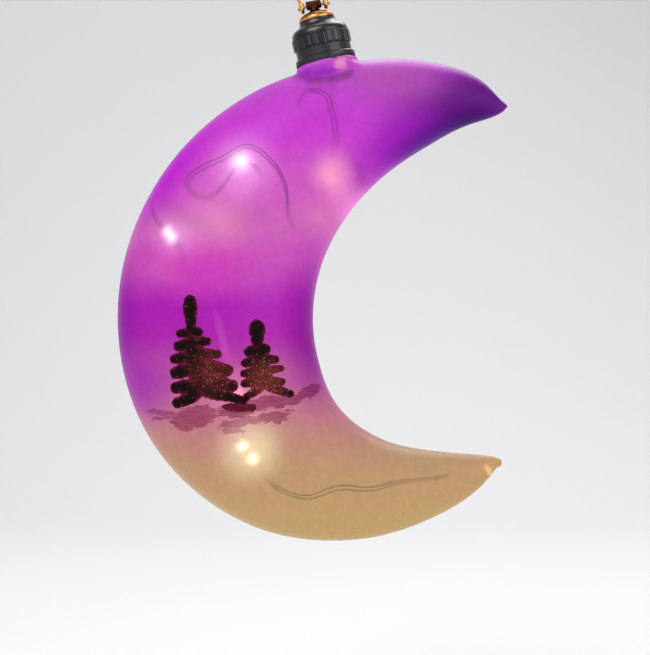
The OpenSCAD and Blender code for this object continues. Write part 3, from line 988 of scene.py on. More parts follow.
@dataclass(frozen=True)
class TintedGlass:
    """Blown glass, frosted and tinted from violet at the top to cream at the foot, lit from inside.

    lamps holds the place of each lamp, the way of the wire through it, and its glow. down is the
    tint from low to high, which strays up and down by drift, and the clouds lie over it; a few
    clouds are painted highlights and painted shade. The glass gives off a painted glow of its own
    tint in place of the lamps' light scattered in the frost, glow_outside on the outer face and
    glow_inside, brighter, on the inner one.
    """

    lamps: tuple[tuple[Vector, Vector, LampGlow], ...]
    wash: GroundWash = GroundWash()
    down: tuple[tuple[float, Colour], ...] = (
        (0.04, tint(190, 165, 114)),
        (0.14, tint(188, 157, 116)),
        (0.21, tint(188, 142, 128)),
        (0.27, tint(190, 124, 146)),
        (0.34, tint(188, 98, 162)),
        (0.42, tint(174, 40, 174)),
        (0.47, tint(174, 34, 180)),
        (0.57, tint(196, 86, 184)),
        (0.64, tint(200, 108, 182)),
        (0.73, tint(202, 94, 190)),
        (0.84, tint(198, 66, 203)),
        (0.95, tint(190, 84, 198)),
    )
    low: float = -70.0
    high: float = 72.0
    drift: float = 8.0
    glow_outside: float = 0.20
    glow_inside: float = 0.46
    clear_outside: float = 0.92
    clear_inside: float = 0.1
    clouds: tuple[ColourCloud, ...] = (
        ColourCloud(10, 56, 26, 14, 20, tint(96, 0, 126), 0.95),
        ColourCloud(6, 48, 16, 5, 30, tint(50, 0, 104), 0.95),
        ColourCloud(-11, 43, 17, 9, 42, tint(160, 8, 186), 0.8),
        ColourCloud(-12, 64, 16, 6, -6, tint(182, 92, 174), 0.85),
        ColourCloud(-3, 45.5, 13, 4.5, 33, tint(84, 0, 138), 0.75),
        ColourCloud(-34, 59, 11, 5, 0, tint(204, 74, 208), 0.6),
        # Under the rim: a light strip, then a dark violet band, painted shade below the opening that also
        # dims the flare's bright ridge, then a lighter strip, painted light that lifts the shade under it.
        ColourCloud(-33.5, 68.2, 7.5, 1.3, 12, tint(205, 96, 214), 0.85),
        ColourCloud(-33.2, 64.8, 7.5, 2.0, 2, tint(146, 6, 172), 0.85),
        ColourCloud(-32.5, 61.2, 8.5, 1.3, 0, tint(216, 104, 216), 0.7),
        ColourCloud(-26.6, 68.0, 2.2, 3.6, 20, tint(208, 124, 190), 0.75),
        # Painted shadow: a dark spot in the gap beside the glue at the rim.
        ColourCloud(-28.8, 69.2, 1.5, 0.5, -8, tint(74, 0, 92), 0.9),
        # Painted highlight: a pale streak of light down the glass.
        ColourCloud(-59.5, -11.0, 1.3, 8.5, 14, tint(222, 110, 210), 0.45),
        ColourCloud(-76, 38, 20, 7, 57, tint(188, 12, 206), 0.95),
        ColourCloud(-92, -14, 8, 28, 0, tint(140, 6, 160), 0.9),
        ColourCloud(-33, -9, 9, 21, 0, tint(140, 6, 150), 0.9),
        ColourCloud(-68, 9, 17, 9, 0, tint(202, 66, 184), 0.85),
        ColourCloud(-84, -24, 10, 13, 0, tint(168, 46, 176), 0.85),
        ColourCloud(-23, 27, 7, 6, 0, tint(240, 150, 218), 0.8),
        ColourCloud(-6, -45, 24, 6, -5, tint(180, 158, 120), 0.65),
        # Painted highlight: light caught in the thick glass of the lower tip.
        ColourCloud(16.2, -49.2, 0.9, 2.0, 24, tint(246, 214, 160), 0.8),
    )

    def pigment(self, sheet: NodeSheet, place: Socket) -> Socket:
        """The glass's tint at a place, with the painted highlights and shade among its clouds.

        Args:
            sheet: The material's node tree.
            place: The place about the bay, in millimetres.

        Returns:
            The colour's socket.
        """
        x, _, z = sheet.split(place)
        height = sheet.math("ADD", z, sheet.sway(sheet.noise(place, 0.035, 2), self.drift))
        share = sheet.fade(height, self.low, self.high)
        share.node.interpolation_type = "LINEAR"
        colour = sheet.ramp(share, self.down)
        flat = sheet.join(x, 0.0, z)
        for cloud in self.clouds:
            share = sheet.fade(sheet.reach(flat, cloud), 1.35, 0.15, 0.0, cloud.share)
            colour = sheet.blend(share, colour, cloud.colour)
        return colour

    def _with_lamps(
        self, sheet: NodeSheet, place: Socket, outside: Socket, inside: Socket
    ) -> tuple[Socket, Socket]:
        """Adds the lamps' painted glow to the glass's painted glow.

        Args:
            sheet: The material's node tree.
            place: The place about the bay, in millimetres.
            outside: The light that the outer skin gives off.
            inside: The light that the inner skin gives off.

        Returns:
            The light of the outer and of the inner skin.
        """
        x, _, z = sheet.split(place)
        flat = sheet.join(x, 0.0, z)
        for where, way, glow in self.lamps:
            middle = (where - BAY) / MM + Vector((glow.shift[0], 0.0, glow.shift[1]))
            red, green, blue = glow.lamp.value
            across = sheet.distance(flat, (middle.x, 0.0, middle.z))
            wide = sheet.fade(across, glow.reach, 0.0)
            outside = self._lit(sheet, outside, glow.lamp.value, sheet.math("MULTIPLY", wide, glow.skin))
            inside = self._lit(sheet, inside, (red, 2 * green, blue), sheet.math("MULTIPLY", wide, glow.deep))
            for side in glow.spots():
                spot = middle + way * glow.split * side
                close = sheet.distance(place, (spot.x, CRESCENT.front(spot.x, spot.z), spot.z))
                bright = sheet.math("POWER", sheet.fade(close, glow.near, 0.0), 4.0)
                outside = self._lit(sheet, outside, glow.lamp.value, sheet.math("MULTIPLY", bright, glow.hot))
        return outside, inside

    def build(self) -> bpy.types.Material:
        """Makes the painted outside of the glass.

        Returns:
            The material.
        """
        sheet = NodeSheet("tinted_moon_glass")
        place = sheet.place(BAY)
        mottle = sheet.noise(place, 0.5, 5, 0.6)
        bare = sheet.vector("SCALE", self.pigment(sheet, place), sheet.fade(mottle, 0.3, 0.7, 0.93, 1.06))
        colour = sheet.vector("MULTIPLY", bare, self.wash.veil(sheet, place))
        lifted = sheet.add("Gamma", {"Color": bare, "Gamma": 0.5}).outputs[0]
        # Painted glow of the glass's own tint, brighter on the inner face, in place of the lamps' light.
        outside = sheet.vector("SCALE", colour, self.glow_outside)
        inside = sheet.vector("SCALE", lifted, self.glow_inside)
        within = sheet.add("NewGeometry").outputs["Backfacing"]
        clearer = self.clear_inside - self.clear_outside
        return sheet.surface(
            Base_Color=colour,
            Roughness=sheet.fade(mottle, 0.3, 0.7, 0.29, 0.34),
            IOR=1.2,
            Specular_IOR_Level=0.08,
            Transmission_Weight=sheet.math("MULTIPLY_ADD", within, clearer, self.clear_outside),
            Emission_Color=sheet.blend(within, *self._with_lamps(sheet, place, outside, inside)),
            Emission_Strength=1.0,
            Normal=sheet.bump(sheet.noise(place, 9.0, 2), 0.03, 0.03),
        )

    @staticmethod
    def _lit(sheet: NodeSheet, light: Socket, colour: Colour, share: Socket) -> Socket:
        """Adds a share of a colour to a light."""
        return sheet.vector("ADD", light, sheet.vector("SCALE", colour, share))


def clear_wall() -> bpy.types.Material:
    """The bare inner face of the glass, smooth and faintly rippled.

    Returns:
        The material.
    """
    sheet = NodeSheet("clear_inner_glass")
    ripple = sheet.noise(sheet.place(), 0.12, 2)
    return sheet.surface(
        Base_Color=(0.97, 0.95, 0.98),
        Roughness=0.42,
        IOR=1.2,
        Transmission_Weight=1.0,
        Normal=sheet.bump(ripple, 0.2, 0.3),
    )


@dataclass
class MoonShell:
    """The blown crescent with its neck, rolled rim and the drop that closes its lower tip.

    The corner under the neck is melted between melt_heights from the rim and melt_radii from the
    neck's outside. Each pass of melt_passes starts further from the middle plane than the last.
    """

    rings: int = 84
    sides: int = 48
    hollow_from: float = 0.08
    hollow_to: float = 0.92
    hollow_rings: int = 56
    hollow_sides: int = 40
    neck_depth: float = 9.0
    bore_past: float = 3.0
    flare_r: float = 2.6
    flare_top: float = 3.5
    lip_d: float = 1.4
    lip_sunk: float = 0.2
    tip_drop_d: float = 2.6
    tip_drop_out: float = 0.3
    melt_heights: tuple[float, float] = (-12.0, -1.5)
    melt_radii: tuple[float, float] = (-0.3, 6.5)
    melt_passes: tuple[tuple[float, int], ...] = ((1.5, 3), (3.0, 5), (4.5, 10), (6.0, 24))

    def _loft(
        self, name: str, skin: float, span: tuple[float, float], rings: int, sides: int
    ) -> bpy.types.Object:
        """Extrudes a ring from station to station round the bay, and draws both ends to a point.

        Args:
            name: The new object's name.
            skin: How far the ring is drawn in from the outside, in millimetres.
            span: The first and the last station.
            rings: How many steps there are between them.
            sides: How many points the ring has.

        Returns:
            The closed mesh object, a little rounder than its stations.
        """
        start, end = span
        stations = [start + (end - start) * i / rings for i in range(1, rings)]
        first = stations[0]
        spine, wide, deep = self._measures(first, skin)
        middle = BAY + Vector((spine * MM, 0, 0))
        bpy.ops.object.select_all(action="DESELECT")
        bpy.ops.mesh.primitive_circle_add(vertices=sides, radius=MM, location=middle, enter_editmode=True)
        bpy.ops.transform.resize(value=(wide, deep, 1.0), center_override=middle)
        self._turn(CRESCENT.swing(first))
        for s in stations[1:]:
            past = self._measures(first, skin)
            spine, wide, deep = self._measures(s, skin)
            bpy.ops.mesh.extrude_region_move()
            self._turn(-CRESCENT.swing(first))
            bpy.ops.transform.resize(
                value=(wide / past[1], deep / past[2], 1.0),
                center_override=BAY + Vector((past[0] * MM, 0, 0)),
            )
            bpy.ops.transform.translate(value=((spine - past[0]) * MM, 0.0, 0.0))
            self._turn(CRESCENT.swing(s))
            first = s
        self._close_tip(end)
        crescent = bpy.context.object
        crescent.name = crescent.data.name = name
        pick_inside(crescent, "VERT", lambda vertex: vertex.index < sides)
        self._close_tip(start)
        bpy.ops.object.mode_set(mode="OBJECT")
        settle(crescent)
        face_out(crescent)
        finish_with(crescent, "SUBSURF", levels=1, render_levels=1)
        return crescent

    @staticmethod
    def _measures(s: float, skin: float) -> tuple[float, float, float]:
        """The spine's radius, half width and half depth at station s."""
        return CRESCENT.spine(s), CRESCENT.half_width(s) - skin, CRESCENT.half_depth(s) - skin

    @staticmethod
    def _turn(degrees: float) -> None:
        """Swings what is selected round the middle of the bay, from +X towards +Z."""
        bpy.ops.transform.rotate(value=math.radians(degrees), orient_axis="Y", center_override=BAY)

    @staticmethod
    def _close_tip(s: float) -> None:
        """Draws the selected ring out to a point.

        Args:
            s: The station whose spine the point lies on.
        """
        bpy.ops.mesh.extrude_region_move()
        bpy.ops.mesh.merge(type="CENTER")
        mesh = bpy.context.object
        mesh.update_from_editmode()
        tip = next(v for v in mesh.data.vertices if v.select)
        spot = BAY + outward(CRESCENT.swing(s)) * CRESCENT.spine(s) * MM
        bpy.ops.transform.translate(value=spot - mesh.matrix_world @ tip.co)

    def _neck(self) -> bpy.types.Object:
        """Turns the neck's tube, which flares into the crescent and is rounded off at its rim.

        Returns:
            The neck's mesh object.
        """
        r, rise = NECK.outer_r, self.neck_depth
        flare = [
            (r + self.flare_r * (1 + math.cos(a)), self.flare_r * math.sin(a) - self.flare_top)
            for a in (math.radians(225 - 5 * i) for i in range(10))
        ]
        rim = ((r, -0.35), (r - 0.1, -0.1), (r - 0.35, 0), (0, 0))
        return turned("neck", [(0, -rise), (r, -rise), *flare, *rim])

    def _lip(self) -> bpy.types.Object:
        """Turns the rolled lip, a ring that stands half out of the neck.

        Returns:
            The lip's mesh object.
        """
        roll = self.lip_d / 2
        radius, height = NECK.outer_r - roll / 2, -roll - self.lip_sunk
        angles = [2 * math.pi * i / 16 for i in range(16)]
        ring = [(radius + roll * math.cos(a), height + roll * math.sin(a)) for a in angles]
        return turned("lip", ring, closed=True)

    def build(self) -> bpy.types.Object:
        """Makes the shell: the outer skin with its neck and drop, hollowed and bored, and its lip.

        Returns:
            The shell's mesh object.
        """
        shell = self._loft("moon_glass", 0.0, (0.0, 1.0), self.rings, self.sides)
        cut_or_join(shell, self._neck(), "UNION")
        self._melt_neck(shell)
        tip = BAY + outward(CRESCENT.lower_tip - 1) * (CRESCENT.spine(1) + self.tip_drop_out) * MM
        cut_or_join(shell, ball(self.tip_drop_d / 2, 32, 20, location=tip), "UNION")
        span = (self.hollow_from, self.hollow_to)
        hollow = self._loft("hollow", CRESCENT.wall_t, span, self.hollow_rings, self.hollow_sides)
        cut_or_join(shell, hollow, "DIFFERENCE")
        low, r = -self.neck_depth - self.bore_past, NECK.bore_r
        cut_or_join(shell, turned("bore", [(0, low), (r, low), (r, 0.5), (0, 0.5)]), "DIFFERENCE")
        cut_or_join(shell, self._lip(), "UNION")
        smooth(shell, 38)
        return shell

    def _in_corner(self, place: Vector, beside: float) -> bool:
        """Finds the corner between the neck and the crescent.

        Args:
            place: A place, in metres.
            beside: How far from the middle plane the corner starts.

        Returns:
            Whether the place lies in it.
        """
        offset = (place - NECK.rim) / MM
        height = offset.dot(NECK.up)
        out = (offset - NECK.up * height).length
        (low, high), (inner, outer) = self.melt_heights, self.melt_radii
        near = low < height < high and NECK.outer_r + inner < out < NECK.outer_r + outer
        return near and abs(offset.y) > beside

    def _melt_neck(self, shell: bpy.types.Object) -> None:
        """Softens the line where the neck runs out into the crescent, as a flame does.

        It leaves the outline alone, and is softer the further a place is to the front or the back.

        Args:
            shell: The crescent with its neck.
        """
        for beside, repeat in self.melt_passes:
            pick_inside(shell, "VERT", lambda vertex: self._in_corner(vertex.co, beside))
            bpy.ops.mesh.vertices_smooth(factor=0.5, repeat=repeat)
            bpy.ops.object.mode_set(mode="OBJECT")

    @staticmethod
    def is_inner(centre: Vector) -> bool:
        """Tells the clear inner wall of the glass from its painted outside.

        Args:
            centre: The middle of a face.

        Returns:
            Whether the face belongs to the inner wall.
        """
        x, y, z = (centre - BAY) / MM
        s = CRESCENT.along(math.degrees(math.atan2(z, x)) % 360)
        wide, deep = max(CRESCENT.half_width(s), 0.01), max(CRESCENT.half_depth(s), 0.01)
        out = math.hypot((math.hypot(x, z) - CRESCENT.spine(s)) / wide, y / deep)
        depth = (1 - out) * min(wide, deep)
        return depth > 0.4 * CRESCENT.wall_t


# --------------------------------------------------------------------------------------------
# The pines
# --------------------------------------------------------------------------------------------


@dataclass(frozen=True)
class Dab:
    """One touch of a loaded brush, from its root to its blunt tip, about the bay."""

    root: tuple[float, float]
    tip: tuple[float, float]
    half: float
    load: float = 1.0


@dataclass
class PaintedPine:
    """A pine of thick dabs: an upright leader, a trunk, and boughs to either side of it."""

    node: str
    leader: tuple[Dab, ...]
    trunk: tuple[Dab, ...]
    boughs: tuple[Dab, ...]
    thick: float = 0.85
    blunt: float = 0.86
    gap: float = 0.04
    voxel: float = 0.2
    dab_sides: int = 24
    lump_d: float = 0.9
    lump_h: float = 0.45

    def _dab(self, dab: Dab) -> list[bpy.types.Object]:
        """Lays one dab on the XZ plane: a long oval, and a ball that makes its tip blunt.

        Args:
            dab: The dab.

        Returns:
            Its two mesh objects.
        """
        (x0, z0), (x1, z1) = dab.root, dab.tip
        long, turn = math.hypot(x1 - x0, z1 - z0), math.atan2(z0 - z1, x1 - x0)
        tip_r = self.blunt * dab.half
        back = tip_r / long
        return [
            ball(
                1.0,
                self.dab_sides,
                self.dab_sides // 2,
                location=(x * MM, 0.0, z * MM),
                rotation=(0.0, turn, 0.0),
                scale=(half_long, self.thick * dab.load, half),
            )
            for x, z, half_long, half in (
                ((x0 + x1) / 2, (z0 + z1) / 2, long / 2, dab.half),
                (x1 + (x0 - x1) * back, z1 + (z0 - z1) * back, tip_r, tip_r),
            )
        ]

    def build(self) -> bpy.types.Object:
        """Lays the dabs flat, melts them into one skin and bends it onto the glass.

        Returns:
            The pine's mesh object.
        """
        pieces = [oval for dab in (*self.leader, *self.trunk, *self.boughs) for oval in self._dab(dab)]
        pine = melted(f"{self.node}_paint", pieces, self.voxel, 2)
        lumps = bpy.data.textures.new("paint_lumps", "CLOUDS")
        lumps.noise_scale = self.lump_d * MM
        lumps.noise_depth = 3
        height = self.lump_h * MM
        finish_with(pine, "DISPLACE", texture=lumps, texture_coords="LOCAL", strength=height, mid_level=0.45)
        self._lay_on(pine)
        bpy.ops.object.shade_smooth()
        return pine

    def _lay_on(self, pine: bpy.types.Object) -> None:
        """Bends the flat paint onto the glass and notes how thick it is at each point.

        Args:
            pine: The pine, flat on the XZ plane.
        """
        body = pine.data.attributes.new("body", "FLOAT", "POINT")
        for vertex, value in zip(pine.data.vertices, body.data):
            x, y, z = vertex.co / MM
            lift = max(0.0, -y)
            vertex.co = about_bay((x, CRESCENT.front(x, z) - self.gap - lift, z))
            value.value = min(1.0, lift / self.thick)


@dataclass(frozen=True)
class GlitterPaint:
    """Thick wine-brown paint with copper glitter, which is heaviest towards one spot.
    Where thin, the paint glows with painted light of the glass behind it, and its flecks glow
    as painted glints.
    """

    name: str
    bright_x: float
    bright_z: float
    reach: float
    gleam: float
    thin: Colour = (0.085, 0.005, 0.018)
    deep: Colour = (0.005, 0.001, 0.0015)
    fleck: Colour = (0.46, 0.11, 0.06)
    dust: Colour = (0.19, 0.035, 0.018)
    flecks_per_mm: float = 3.2

    def build(self) -> bpy.types.Material:
        """Makes the paint.

        Returns:
            The material.
        """
        sheet = NodeSheet(self.name)
        place = sheet.place(BAY)
        x, _, z = sheet.split(place)
        body = sheet.add("Attribute", attribute_name="body").outputs["Fac"]
        streak = sheet.noise(sheet.stretch(place, (0.5, 1.0, 1.6), (0, -12, 0)), 1.3, 4, 0.6)
        away = sheet.distance(sheet.join(x, 0.0, z), (self.bright_x, 0.0, self.bright_z))
        heavy = sheet.fade(away, self.reach, 0.2 * self.reach)
        cover = sheet.math("ADD", body, sheet.math("MULTIPLY_ADD", streak, 1.1, -0.5))
        cover = sheet.math("SUBTRACT", cover, sheet.math("MULTIPLY", heavy, 0.22))
        paint = sheet.blend(sheet.fade(cover, 0.35, 0.95), self.thin, self.deep)
        paint = sheet.blend(sheet.math("MULTIPLY", heavy, 0.45 * self.gleam), paint, self.dust)
        cells = sheet.cells(place, self.flecks_per_mm)
        chance, tone, _ = sheet.split(cells.outputs["Color"])
        patchy = sheet.fade(sheet.noise(place, 0.7, 3), 0.38, 0.62, 0.25, 1.0)
        level = sheet.math("MULTIPLY_ADD", sheet.math("MULTIPLY", heavy, patchy), 0.36, 0.01)
        chosen = sheet.math("LESS_THAN", chance, level)
        fleck = sheet.math("MULTIPLY", chosen, sheet.fade(cells.outputs["Distance"], 0.42, 0.24))
        bright = sheet.blend(tone, self.fleck, (0.62, 0.22, 0.12))
        copper = sheet.blend(sheet.fade(tone, 0.0, 1.0, self.gleam, 1.0), self.thin, bright)
        # Painted light: thin paint glows with the lit glass behind it, and the copper flecks glow as painted
        # glints.
        lit = sheet.blend(fleck, sheet.blend(sheet.fade(cover, 0.3, 0.9), self.thin, (0.0, 0.0, 0.0)), copper)
        return sheet.surface(
            Base_Color=sheet.blend(fleck, paint, copper),
            Metallic=sheet.math("MULTIPLY", fleck, 0.9),
            Roughness=sheet.math("MULTIPLY_ADD", fleck, -0.12, 0.5),
            Specular_IOR_Level=0.06,
            Emission_Color=lit,
            Emission_Strength=0.35,
            Normal=sheet.bump(streak, 0.35, 0.2, sheet.bump(tone, 0.5, 0.12)),
        )


def turned(
    name: str, profile: Sequence[tuple[float, float]], steps: int = 96, closed: bool = False
) -> bpy.types.Object:
    """Spins a profile about the neck's axis.

    Args:
        name: The new object's name.
        profile: Points of radius and height above the rim, in millimetres.
        steps: How many faces go round.
        closed: Whether the profile's last point joins its first.

    Returns:
        The mesh object, closed and facing outwards.
    """
    bpy.ops.object.select_all(action="DESELECT")
    bpy.ops.mesh.primitive_circle_add(vertices=len(profile), radius=MM)
    piece = bpy.context.object
    piece.name = piece.data.name = name
    for vertex, (radius, height) in zip(piece.data.vertices, profile):
        vertex.co = (radius * MM, 0.0, height * MM)
    if not closed:
        pick_inside(piece, "EDGE", lambda edge: set(edge.vertices) == {0, len(profile) - 1})
        bpy.ops.mesh.delete(type="EDGE")
        bpy.ops.mesh.select_mode(type="VERT")
        bpy.ops.object.mode_set(mode="OBJECT")
    bpy.ops.object.mode_set(mode="EDIT")
    bpy.ops.mesh.select_all(action="SELECT")
    bpy.ops.mesh.spin(steps=steps, angle=2 * math.pi, center=(0, 0, 0), axis=(0, 0, 1))
    face_out(piece)
    return on_the_neck(piece)


def on_the_neck(piece: bpy.types.Object) -> bpy.types.Object:
    """Moves a piece made about the origin to the neck's rim, and leans it with the neck."""
    piece.matrix_world = Matrix.Translation(NECK.rim) @ Matrix.Rotation(-NECK.tilt, 4, "Y")
    return settle(piece)


# --------------------------------------------------------------------------------------------
# Finishes of the neck, the cap and the loop
# --------------------------------------------------------------------------------------------


class Metal(Enum):
    """The bright metals inside the cup and the cap."""

    BRASS = (0.78, 0.55, 0.24)
    STEEL = (0.60, 0.60, 0.61)
    TIN = (0.72, 0.70, 0.66)


@dataclass(frozen=True)
class BrightMetal:
    """Bare metal with fine drawing lines, small scratches and a little tarnish."""

    name: str
    metal: Metal
    rough: float = 0.26
    drawn: Point = (1.0, 1.0, 9.0)

    def build(self) -> bpy.types.Material:
        """Makes the metal.

        Returns:
            The material.
        """
        sheet = NodeSheet(self.name)
        place = sheet.place()
        lines = sheet.noise(sheet.stretch(place, self.drawn), 2.5, 4)
        tarnish = sheet.fade(sheet.noise(place, 0.35, 4, 0.6), 0.45, 0.75)
        dull = tuple(0.45 * c for c in self.metal.value)
        rough = sheet.math("MULTIPLY_ADD", tarnish, 0.15, self.rough)
        return sheet.surface(
            Base_Color=sheet.blend(sheet.math("MULTIPLY", tarnish, 0.6), self.metal.value, dull),
            Metallic=1.0,
            Roughness=sheet.math("MULTIPLY_ADD", lines, 0.16, rough),
            Normal=sheet.bump(lines, 0.25, 0.02),
        )


@dataclass(frozen=True)
class BrassLitFromBelow:
    """Warm brass, painted bright along its lowest edge where the moon's glow lights it from below, and
    turning red-brown, then near black, higher up as painted shade; dark tarnish specks lie over it.
    """

    name: str
    low: float
    high: float
    bright: Colour = (0.88, 0.42, 0.10)
    warm: Colour = (0.42, 0.13, 0.035)
    dark: Colour = (0.06, 0.018, 0.010)

    def build(self) -> bpy.types.Material:
        """Makes the brass.

        Returns:
            The material.
        """
        sheet = NodeSheet(self.name)
        place = sheet.place(NECK.rim)
        x, _, z = sheet.split(place)
        along = sheet.math("ADD", sheet.math("MULTIPLY", x, NECK.up.x), sheet.math("MULTIPLY", z, NECK.up.z))
        cloud = sheet.noise(place, 0.55, 4, 0.62)
        height = sheet.math("ADD", along, sheet.sway(cloud, 0.8))
        # Painted light and shade: bright low down, where the glow from below lights it, and dark higher up.
        share = sheet.fade(height, self.low, self.high)
        colour = sheet.ramp(share, ((0.0, self.bright), (0.35, self.warm), (1.0, self.dark)))
        specks = sheet.fade(sheet.noise(place, 3.2, 3), 0.60, 0.72)
        colour = sheet.blend(sheet.math("MULTIPLY", specks, 0.5), colour, self.dark)
        wear = sheet.noise(sheet.stretch(place, (1.0, 1.0, 2.0)), 1.8, 4)
        return sheet.surface(
            Base_Color=colour,
            Metallic=1.0,
            Roughness=sheet.math("MULTIPLY_ADD", wear, 0.2, sheet.math("MULTIPLY_ADD", share, 0.12, 0.20)),
            Normal=sheet.bump(wear, 0.15, 0.03, sheet.bump(cloud, 0.2, 0.1)),
        )


@dataclass(frozen=True)
class MouldedPlastic:
    """Injection-moulded plastic with a fine satin grain, faint flow marks and pale worn patches."""

    name: str
    colour: Colour
    rough: float = 0.36
    coat: float = 0.2
    grain: float = 5.0

    def build(self) -> bpy.types.Material:
        """Makes the plastic.

        Returns:
            The material.
        """
        sheet = NodeSheet(self.name)
        place = sheet.place()
        grain = sheet.noise(place, self.grain, 3)
        flow = sheet.noise(sheet.stretch(place, (0.2, 0.2, 0.7)), 1.0, 3)
        pale = tuple(1.5 * c + 0.012 for c in self.colour)
        worn = sheet.fade(sheet.noise(place, 0.8, 5, 0.65), 0.55, 0.8)
        rough = sheet.math("MULTIPLY_ADD", worn, 0.12, self.rough - 0.08)
        return sheet.surface(
            Base_Color=sheet.blend(sheet.math("MULTIPLY", worn, 0.7), self.colour, pale),
            Roughness=sheet.math("MULTIPLY_ADD", flow, 0.16, rough),
            Coat_Weight=self.coat,
            Coat_Roughness=0.18,
            Normal=sheet.bump(grain, 0.3, 0.03, sheet.bump(flow, 0.15, 0.1)),
        )


@dataclass(frozen=True)
class SealRubber:
    """Soft black rubber, matt, with a bloom of grey on it."""

    name: str = "seal_rubber_matt"

    def build(self) -> bpy.types.Material:
        """Makes the rubber.

        Returns:
            The material.
        """
        sheet = NodeSheet(self.name)
        place = sheet.place()
        bloom = sheet.fade(sheet.noise(place, 0.7, 5, 0.6), 0.4, 0.8)
        pits = sheet.noise(place, 7.0, 2)
        return sheet.surface(
            Base_Color=sheet.blend(bloom, (0.014, 0.013, 0.014), (0.045, 0.042, 0.046)),
            Roughness=sheet.fade(pits, 0.3, 0.7, 0.62, 0.82),
            Specular_IOR_Level=0.35,
            Normal=sheet.bump(pits, 0.4, 0.05),
        )


@dataclass(frozen=True)
class BoardMask:
    """Green solder mask over copper tracks."""

    name: str = "board_solder_mask"

    def build(self) -> bpy.types.Material:
        """Makes the mask.

        Returns:
            The material.
        """
        sheet = NodeSheet(self.name)
        place = sheet.place()
        cells = sheet.cells(sheet.stretch(place, (1.0, 1.0, 0.05)), 0.35, "DISTANCE_TO_EDGE")
        track = sheet.fade(cells.outputs["Distance"], 0.14, 0.10)
        return sheet.surface(
            Base_Color=sheet.blend(track, (0.012, 0.085, 0.030), (0.035, 0.19, 0.060)),
            Roughness=sheet.fade(sheet.noise(place, 2.0), 0.3, 0.7, 0.25, 0.35),
            Normal=sheet.bump(track, 0.6, 0.04),
        )


@dataclass(frozen=True)
class SetGlue:
    """Clear glue that has yellowed a little, lit from behind by the moon."""

    name: str = "set_glue"

    def build(self) -> bpy.types.Material:
        """Makes the glue.

        Returns:
            The material.
        """
        sheet = NodeSheet(self.name)
        place = sheet.place(NECK.rim)
        cloud = sheet.noise(place, 0.9, 4, 0.6)
        colour = sheet.blend(sheet.fade(cloud, 0.35, 0.65), (0.92, 0.62, 0.76), (0.88, 0.54, 0.80))
        return sheet.surface(
            Base_Color=colour,
            Roughness=sheet.fade(cloud, 0.3, 0.7, 0.16, 0.3),
            IOR=1.46,
            Transmission_Weight=0.93,
            Emission_Color=colour,
            Emission_Strength=0.04,
            Normal=sheet.bump(sheet.noise(place, 1.2, 2), 0.25, 0.1),
        )


# --------------------------------------------------------------------------------------------
# The neck's fittings
# --------------------------------------------------------------------------------------------


@dataclass(frozen=True)
class GlueDrop:
    """One drop of the glue: its direction and height on the neck, and half its size each way."""

    direction: float
    height: float
    across: float
    down: float
    thick: float = 0.24


@dataclass
class GlueRun:
    """The glue that has run down from the lip at the front of the neck."""

    radius: float = 9.02
    voxel: float = 0.11
    drops: tuple[GlueDrop, ...] = (
        GlueDrop(-50, -0.8, 2.0, 0.8),
        GlueDrop(-60, -1.2, 2.2, 1.1),
        GlueDrop(-66, -2.2, 2.0, 1.3),
        GlueDrop(-60, -3.1, 1.5, 1.0),
        GlueDrop(-72, -2.9, 1.3, 0.8),
    )

    def build(self) -> bpy.types.Object:
        """Melts the drops into one run.

        Returns:
            The glue's mesh object.
        """
        pieces = []
        for drop in self.drops:
            angle = math.radians(drop.direction)
            place = (self.radius * math.cos(angle) * MM, self.radius * math.sin(angle) * MM, drop.height * MM)
            size = (drop.thick, drop.across, drop.down)
            pieces.append(ball(1.0, 24, 14, location=place, rotation=(0.0, 0.0, angle), scale=size))
        glue = on_the_neck(melted("glue_run", pieces, self.voxel, 8))
        bpy.ops.object.shade_smooth()
        return glue


@dataclass
class Finial:
    """The domed foot on the cap's crown, which draws in to a rounded lug for the loop's pin."""

    stud_r: float = 1.4
    stud_low: float = 9.9
    crown: float = 12.85
    foot_r: float = 5.1
    rim_t: float = 0.3
    dome_rise: float = 2.2
    waist_r: float = 1.3
    waist_rise: float = 1.25
    seat_gap: float = 0.02
    pin_h: float = 17.25
    lug_r: float = 1.25
    lug_w: float = 4.4

    def _profile(self) -> list[tuple[float, float]]:
        """Draws the stud, the dome and the waist that draws in to the lug.

        Returns:
            Points of radius and height, from the stud's end to the waist's.
        """
        seat, base = self.crown + self.seat_gap, self.crown + self.rim_t
        stud = [(0, self.stud_low), (self.stud_r, self.stud_low), (self.stud_r, seat)]
        dome = [
            (self.foot_r * math.cos(a), base + self.dome_rise * math.sin(a))
            for a in (math.radians(7 * i) for i in range(9))
        ]
        last_r, last_h = dome[-1]
        in_by = last_r - self.waist_r
        waist = [
            (last_r - in_by * math.sin(a), last_h + self.waist_rise * (1 - math.cos(a)))
            for a in (math.radians(15 * i) for i in range(1, 7))
        ]
        top = [(self.waist_r, self.pin_h), (0, self.pin_h)]
        return [*stud, (self.foot_r - 0.1, seat), *dome, *waist, *top]

    def build(self) -> bpy.types.Object:
        """Turns the dome and joins the lug's barrel to it.

        Returns:
            The finial's mesh object.
        """
        dome = turned("finial_dome", self._profile(), steps=72)
        bpy.ops.object.select_all(action="DESELECT")
        bpy.ops.mesh.primitive_cylinder_add(
            vertices=48,
            radius=self.lug_r * MM,
            depth=self.lug_w * MM,
            location=(0.0, 0.0, self.pin_h * MM),
            rotation=(0.0, math.radians(90), 0.0),
        )
        barrel = settle(bpy.context.object)
        finish_with(barrel, "BEVEL", width=0.3 * MM, segments=4, limit_method="ANGLE")
        cut_or_join(dome, on_the_neck(barrel), "UNION")
        smooth(dome, 40)
        return dome


